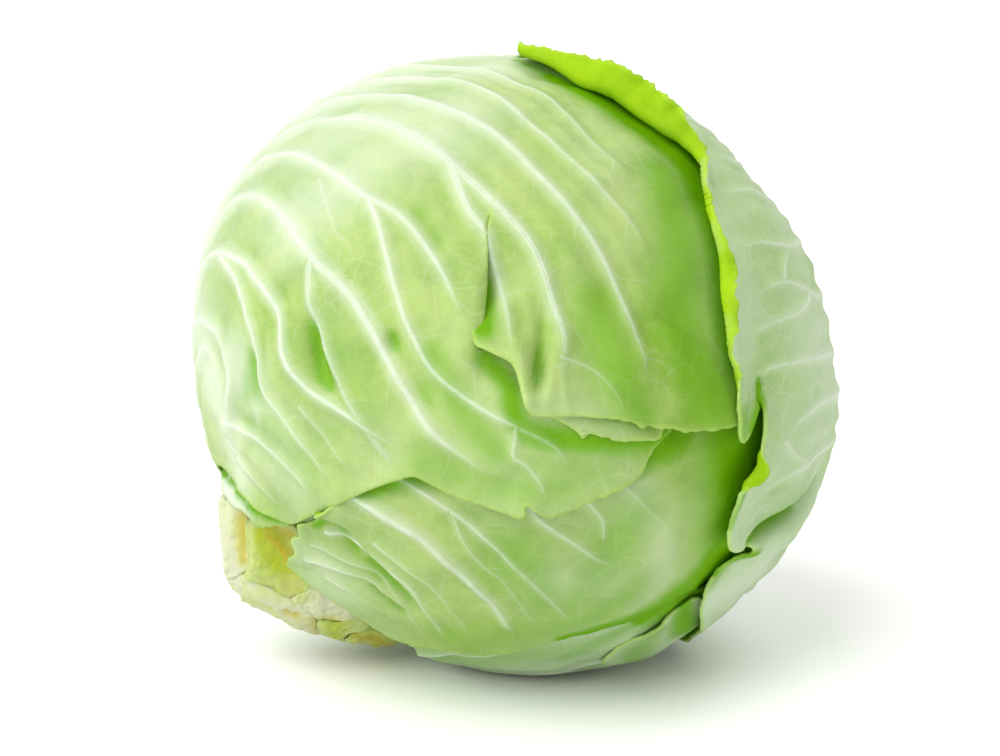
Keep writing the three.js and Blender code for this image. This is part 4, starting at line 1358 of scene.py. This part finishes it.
def leaf_material(name, groups, look):
    """Waxy leaf: tissue, veins, pale patches partly painted light, painted shade in deep green, a light edge,
    and light through it.
    """
    n = new_material(name)
    tissue = n.group(groups["tissue"], tissue_inputs(look))
    veins = n.group(groups["veins"], {"Net Size": look["net_size"], "Net Strength": look["net"]})
    shade = n.number(look["shade"])
    # Pale patches: partly paler tissue, partly painted light.
    colour = n.mix(n.times(n.number("pale_and_lit"), 0.85), tissue["Color"], look["pale_and_lit"])
    # Painted shade: deep green where the leaf lies in shade under or beside another, and in its hollows.
    colour = n.mix(n.ramp(shade, 0.0, 0.85, 0.0, look["shade_strength"]), colour, look["painted_shade_green"])
    for label, amount in (("Halo", look["halo"]), ("Net", look["net_tint"]), ("Vein", look["vein_tint"])):
        colour = n.mix(n.times(veins[label], amount), colour, look["vein"])
    # Painted shade in the crease along a vein.
    colour = n.mix(n.times(veins["Groove"], 0.4), colour, look["painted_shade_green"])
    rim = n.ramp(n.number("edge_mm"), 1.3, 0.0, 0.0, look["edge_tint"])
    colour = n.mix(n.times(rim, n.ramp(shade, 0.9, 0.3)), colour, look["edge"])
    height = n.plus(veins["Height"], n.times(tissue["Grain"], 0.12))
    normal = n.bump(height, look["bump"], BUMP_DEPTH)
    skin = n.add("ShaderNodeBsdfPrincipled", {
        "Base Color": colour, "Roughness": look["rough"], "IOR": 1.4, "Specular IOR Level": look["shine"],
        "Normal": normal,
    })
    glow = n.mix(1.0, colour, look["through"], blend="MULTIPLY")
    behind = n.add("ShaderNodeBsdfTranslucent", {"Color": glow, "Normal": normal})
    n.surface(n.add("ShaderNodeMixShader", {0: look["thin"], 1: skin.outputs[0], 2: behind.outputs[0]}))


def heart_material(groups, look):
    """The heart's skin, seen only in bands between the leaves, in a darker green that is painted shade."""
    n = new_material("heart_leaf_skin")
    tissue = n.group(groups["tissue"], tissue_inputs(look))
    n.surface(n.add("ShaderNodeBsdfPrincipled", {
        "Base Color": tissue["Color"], "Roughness": 0.45, "Coat Weight": 0.1,
        "Normal": n.bump(tissue["Grain"], 0.2, 0.0003),
    }))


def stalk_material(name, look):
    """Cut flesh: streaks along the fibres, yellow-green where ripe, ochre stains, a moist skin."""
    n = new_material(name)
    place = n.place()
    along = {"Vector": place, "Rotation": (0.0, math.radians(46), math.radians(12)), "Scale": (1.0, 1.0, 0.2)}
    turned = n.add("ShaderNodeMapping", along, vector_type="POINT").outputs["Vector"]
    streak = n.noise(turned, 300.0, 4.0, 0.6)
    blotch = n.noise(place, 110.0, 4.0, 0.65)
    colour = n.mix(n.ramp(streak, 0.4, 0.66), look["flesh"], look["streak"])
    colour = n.mix(n.times(n.ramp(blotch, 0.5, 0.7), look["blush_amount"]), colour, look["blush"])
    colour = n.mix(n.times(n.number("ripe"), n.ramp(streak, 0.3, 0.6, 1.0, 0.75)), colour, look["ripe"])
    colour = n.mix(n.times(n.number("stain"), n.ramp(blotch, 0.3, 0.6, 0.6, 1.0)), colour, look["stain"])
    height = n.plus(streak, n.times(n.noise(place, 900.0, 3.0), 0.35))
    n.surface(n.add("ShaderNodeBsdfPrincipled", {
        "Base Color": colour, "Roughness": 0.5, "IOR": 1.42, "Specular IOR Level": 0.3,
        "Normal": n.bump(height, 0.5, BUMP_DEPTH),
        "Subsurface Weight": 0.15, "Subsurface Radius": (0.003, 0.003, 0.001), "Subsurface Scale": 1.0,
    }))


# In a leaf look, the deep shade green is painted shade, and the pale colour is partly paler tissue and partly
# painted light.
PALE_LOOK = {
    "light": rgb(0.40, 0.54, 0.15), "deep": rgb(0.22, 0.385, 0.035), "bloom": rgb(0.56, 0.67, 0.40),
    "bloom_amount": 0.3, "pale_and_lit": rgb(0.78, 0.84, 0.73), "painted_shade_green": rgb(0.15, 0.39, 0.0),
    "shade": "shade", "shade_strength": 1.0, "edge": rgb(0.46, 0.66, 0.14), "edge_tint": 0.6,
    "vein": rgb(0.76, 0.83, 0.71), "vein_tint": 0.8, "halo": 0.45, "net": 0.38, "net_tint": 0.36,
    "net_size": 17.0, "bump": 0.5, "rough": 0.48, "shine": 0.12, "thin": 0.2, "through": rgb(0.9, 1.0, 0.5),
}
OUTER_LOOK = PALE_LOOK | {
    "light": rgb(0.44, 0.60, 0.27), "deep": rgb(0.32, 0.49, 0.16), "bloom": rgb(0.58, 0.70, 0.48),
    "bloom_amount": 0.55, "edge": rgb(0.5, 0.72, 0.14), "net": 0.65,
}
# A leaf's inside: its bright lime is partly its own colour and partly painted light shining through the leaf.
LIT_INNER_LOOK = PALE_LOOK | {
    "light": rgb(0.46, 0.70, 0.008), "deep": rgb(0.32, 0.58, 0.002), "bloom": rgb(0.60, 0.80, 0.06),
    "bloom_amount": 0.2, "pale_and_lit": rgb(0.62, 0.76, 0.24), "painted_shade_green": rgb(0.12, 0.40, 0.001),
    "shade": "inner_shade", "shade_strength": 0.85, "edge": rgb(0.6, 0.8, 0.1),
    "vein": rgb(0.55, 0.8, 0.2), "vein_tint": 0.4, "halo": 0.3, "shine": 0.05, "thin": 0.45,
    "through": rgb(0.75, 1.0, 0.1),
}
# Darker than the leaves: painted shade for the bands of heart seen between them.
SHADED_HEART_LOOK = {
    "light": rgb(0.30, 0.50, 0.06), "deep": rgb(0.17, 0.38, 0.01), "bloom": rgb(0.42, 0.58, 0.18),
    "bloom_amount": 0.3,
}
CREAM_LOOK = {
    "flesh": rgb(0.52, 0.54, 0.37), "streak": rgb(0.47, 0.52, 0.25), "blush": rgb(0.50, 0.47, 0.24),
    "blush_amount": 0.5, "ripe": rgb(0.42, 0.48, 0.05), "stain": rgb(0.46, 0.39, 0.04),
}
STALK_LOOK = {
    "flesh": rgb(0.42, 0.50, 0.18), "streak": rgb(0.36, 0.45, 0.10), "blush": rgb(0.38, 0.40, 0.13),
    "blush_amount": 0.6, "ripe": rgb(0.34, 0.41, 0.001), "stain": rgb(0.37, 0.32, 0.012),
}


def ready_materials():
    """The materials by name, made once."""
    if "leaf_inside" not in bpy.data.materials:
        looks = bpy.context.scene.cabbage_looks
        groups = {"tissue": tissue_group(), "veins": vein_group()}
        chosen = {"vein": tuple(looks.vein_colour), "light": tuple(looks.leaf_colour)}
        leaf_material("pale_leaf_skin", groups, PALE_LOOK | chosen)
        leaf_material("outer_leaf_skin", groups, OUTER_LOOK)
        leaf_material("leaf_inside", groups, LIT_INNER_LOOK)
        heart_material(groups, SHADED_HEART_LOOK)
        stalk_material("cut_stem_skin", CREAM_LOOK)
        stalk_material("leaf_stalk_skin", STALK_LOOK)
    return bpy.data.materials


# ---------------------------------------------------------------- stage

FLOOR_HALF = 4.0  # in metres, as the drop and the aim are
FLOOR_DROP = 0.0002
WORLD_LIGHT = 0.75
# Name, strength, azimuth and elevation it comes from, and how wide it is in degrees.
LAMPS = (("key_light", 2.9, -50, 46, 60), ("back_light", 0.8, 150, 50, 40))
LENS = 100  # in millimetres, as the sensor is
SENSOR = 36
AIM_LEFT = 0.0022  # the camera aims a little to the left of the head's middle
AIM_DOWN = 0.0033  # and a little below it


def soft_sun(name, strength, azimuth, elevation, spread):
    """A wide, even light from one way, so the floor is lit evenly too."""
    lamp = bpy.data.lights.new(name, "SUN")
    lamp.energy = strength
    lamp.angle = math.radians(spread)
    holder = bpy.data.objects.new(name, lamp)
    way = Vector(way_out(azimuth, elevation))
    holder.location = Vector(MIDDLE * MM) + way
    holder.rotation_euler = way.to_track_quat("Z", "Y").to_euler()
    bpy.context.scene.collection.objects.link(holder)


def floor_object():
    """A wide sheet of matt paper just under the head."""
    bm = bmesh.new()
    bmesh.ops.create_grid(bm, x_segments=1, y_segments=1, size=FLOOR_HALF)
    bmesh.ops.translate(bm, verts=bm.verts, vec=(0, 0, -FLOOR_DROP))
    n = new_material("floor_paper")
    n.surface(n.add("ShaderNodeBsdfPrincipled", {"Base Color": rgb(0.93, 0.93, 0.92), "Roughness": 0.9}))
    return link_mesh("floor", bm, [bpy.data.materials["floor_paper"]])


def studio_world():
    """Even white light from all round."""
    world = bpy.data.worlds.new("studio")
    world.use_nodes = True
    background = world.node_tree.nodes["Background"]
    background.inputs["Color"].default_value = rgb(1, 1, 1)
    background.inputs["Strength"].default_value = WORLD_LIGHT
    return world


def studio_camera(rise, distance):
    """A camera that looks at the head from the front, a little from above."""
    up = Vector((0, math.sin(rise), math.cos(rise)))
    back = Vector((0, -math.cos(rise), math.sin(rise)))
    camera = bpy.data.cameras.new("camera")
    camera.lens = LENS
    camera.sensor_width = SENSOR
    holder = bpy.data.objects.new("camera", camera)
    holder.location = Vector(MIDDLE * MM) - Vector((AIM_LEFT, 0, 0)) - up * AIM_DOWN + back * distance
    holder.rotation_euler = (math.pi / 2 - rise, 0, 0)
    bpy.context.scene.collection.objects.link(holder)
    return holder


# ---------------------------------------------------------------- add-on


def colour_property(name, description, default):
    """A colour that a user can change."""
    return bpy.props.FloatVectorProperty(
        name=name, description=description, subtype="COLOR", size=4, min=0, max=1, default=default
    )


class CabbageLooks(bpy.types.PropertyGroup):
    """Colours and camera settings to choose before the pieces are added"""

    vein_colour: colour_property("Vein colour", "Colour of the main veins", PALE_LOOK["vein"])
    leaf_colour: colour_property("Leaf colour", "Light colour of the pale leaves", PALE_LOOK["light"])
    camera_distance: bpy.props.FloatProperty(
        name="Camera distance", description="From the middle of the head", default=0.766, unit="LENGTH"
    )
    camera_rise: bpy.props.FloatProperty(
        name="Camera rise", description="Camera's height over the level", default=math.radians(12),
        subtype="ANGLE",
    )


def settle(piece, node):
    """Puts a finished piece in the place of its node on the part's one body."""
    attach(piece, "root")
    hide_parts(node)


class CABBAGE_OT_heart(bpy.types.Operator):
    """Adds the tight heart"""

    bl_idname = "cabbage.heart"
    bl_label = "Add heart"

    def execute(self, context):
        settle(heart_object(ready_materials()["heart_leaf_skin"]), "inner_head")
        return {"FINISHED"}


class CABBAGE_OT_leaves(bpy.types.Operator):
    """Wraps the leaves over the heart"""

    bl_idname = "cabbage.leaves"
    bl_label = "Add leaves"

    def execute(self, context):
        materials = ready_materials()
        for name, spec in LEAVES.items():
            skins = [materials[spec["slot"] + "_skin"], materials["leaf_inside"]]
            settle(leaf_object(name + "_sheet", spec, skins), name)
        return {"FINISHED"}


class CABBAGE_OT_stem(bpy.types.Operator):
    """Adds the cut stem and the trimmed stalks round it"""

    bl_idname = "cabbage.stem"
    bl_label = "Add stem and stalks"

    def execute(self, context):
        materials = ready_materials()
        for name, spec in STALKS.items():
            settle(stalk_object(name + "_flesh", spec, materials[spec["slot"] + "_skin"]), name)
        return {"FINISHED"}


class CABBAGE_OT_stage(bpy.types.Operator):
    """Adds the floor, the lights and the camera"""

    bl_idname = "cabbage.stage"
    bl_label = "Add stage"

    def execute(self, context):
        scene, looks = context.scene, context.scene.cabbage_looks
        floor_object()
        scene.world = studio_world()
        for lamp in LAMPS:
            soft_sun(*lamp)
        scene.view_settings.view_transform = "Standard"
        scene.camera = studio_camera(looks.camera_rise, looks.camera_distance)
        return {"FINISHED"}


class CABBAGE_PT_panel(bpy.types.Panel):
    """Lists the pieces of the cabbage head"""

    bl_label = "Cabbage Head"
    bl_idname = "CABBAGE_PT_panel"
    bl_space_type = "VIEW_3D"
    bl_region_type = "UI"
    bl_category = "Cabbage"

    def draw(self, context):
        for name in ("vein_colour", "leaf_colour", "camera_distance", "camera_rise"):
            self.layout.prop(context.scene.cabbage_looks, name)
        for operator in ("cabbage.heart", "cabbage.leaves", "cabbage.stem", "cabbage.stage"):
            self.layout.operator(operator)


CLASSES = (
    CabbageLooks,
    CABBAGE_OT_heart,
    CABBAGE_OT_leaves,
    CABBAGE_OT_stem,
    CABBAGE_OT_stage,
    CABBAGE_PT_panel,
)


def register():
    for item in CLASSES:
        bpy.utils.register_class(item)
    bpy.types.Scene.cabbage_looks = bpy.props.PointerProperty(type=CabbageLooks)


def unregister():
    del bpy.types.Scene.cabbage_looks
    for item in reversed(CLASSES):
        bpy.utils.unregister_class(item)


def main():
    register()
    bpy.ops.cabbage.heart()
    bpy.ops.cabbage.leaves()
    bpy.ops.cabbage.stem()
    bpy.ops.cabbage.stage()
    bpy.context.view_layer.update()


if __name__ == "__main__":
    main()
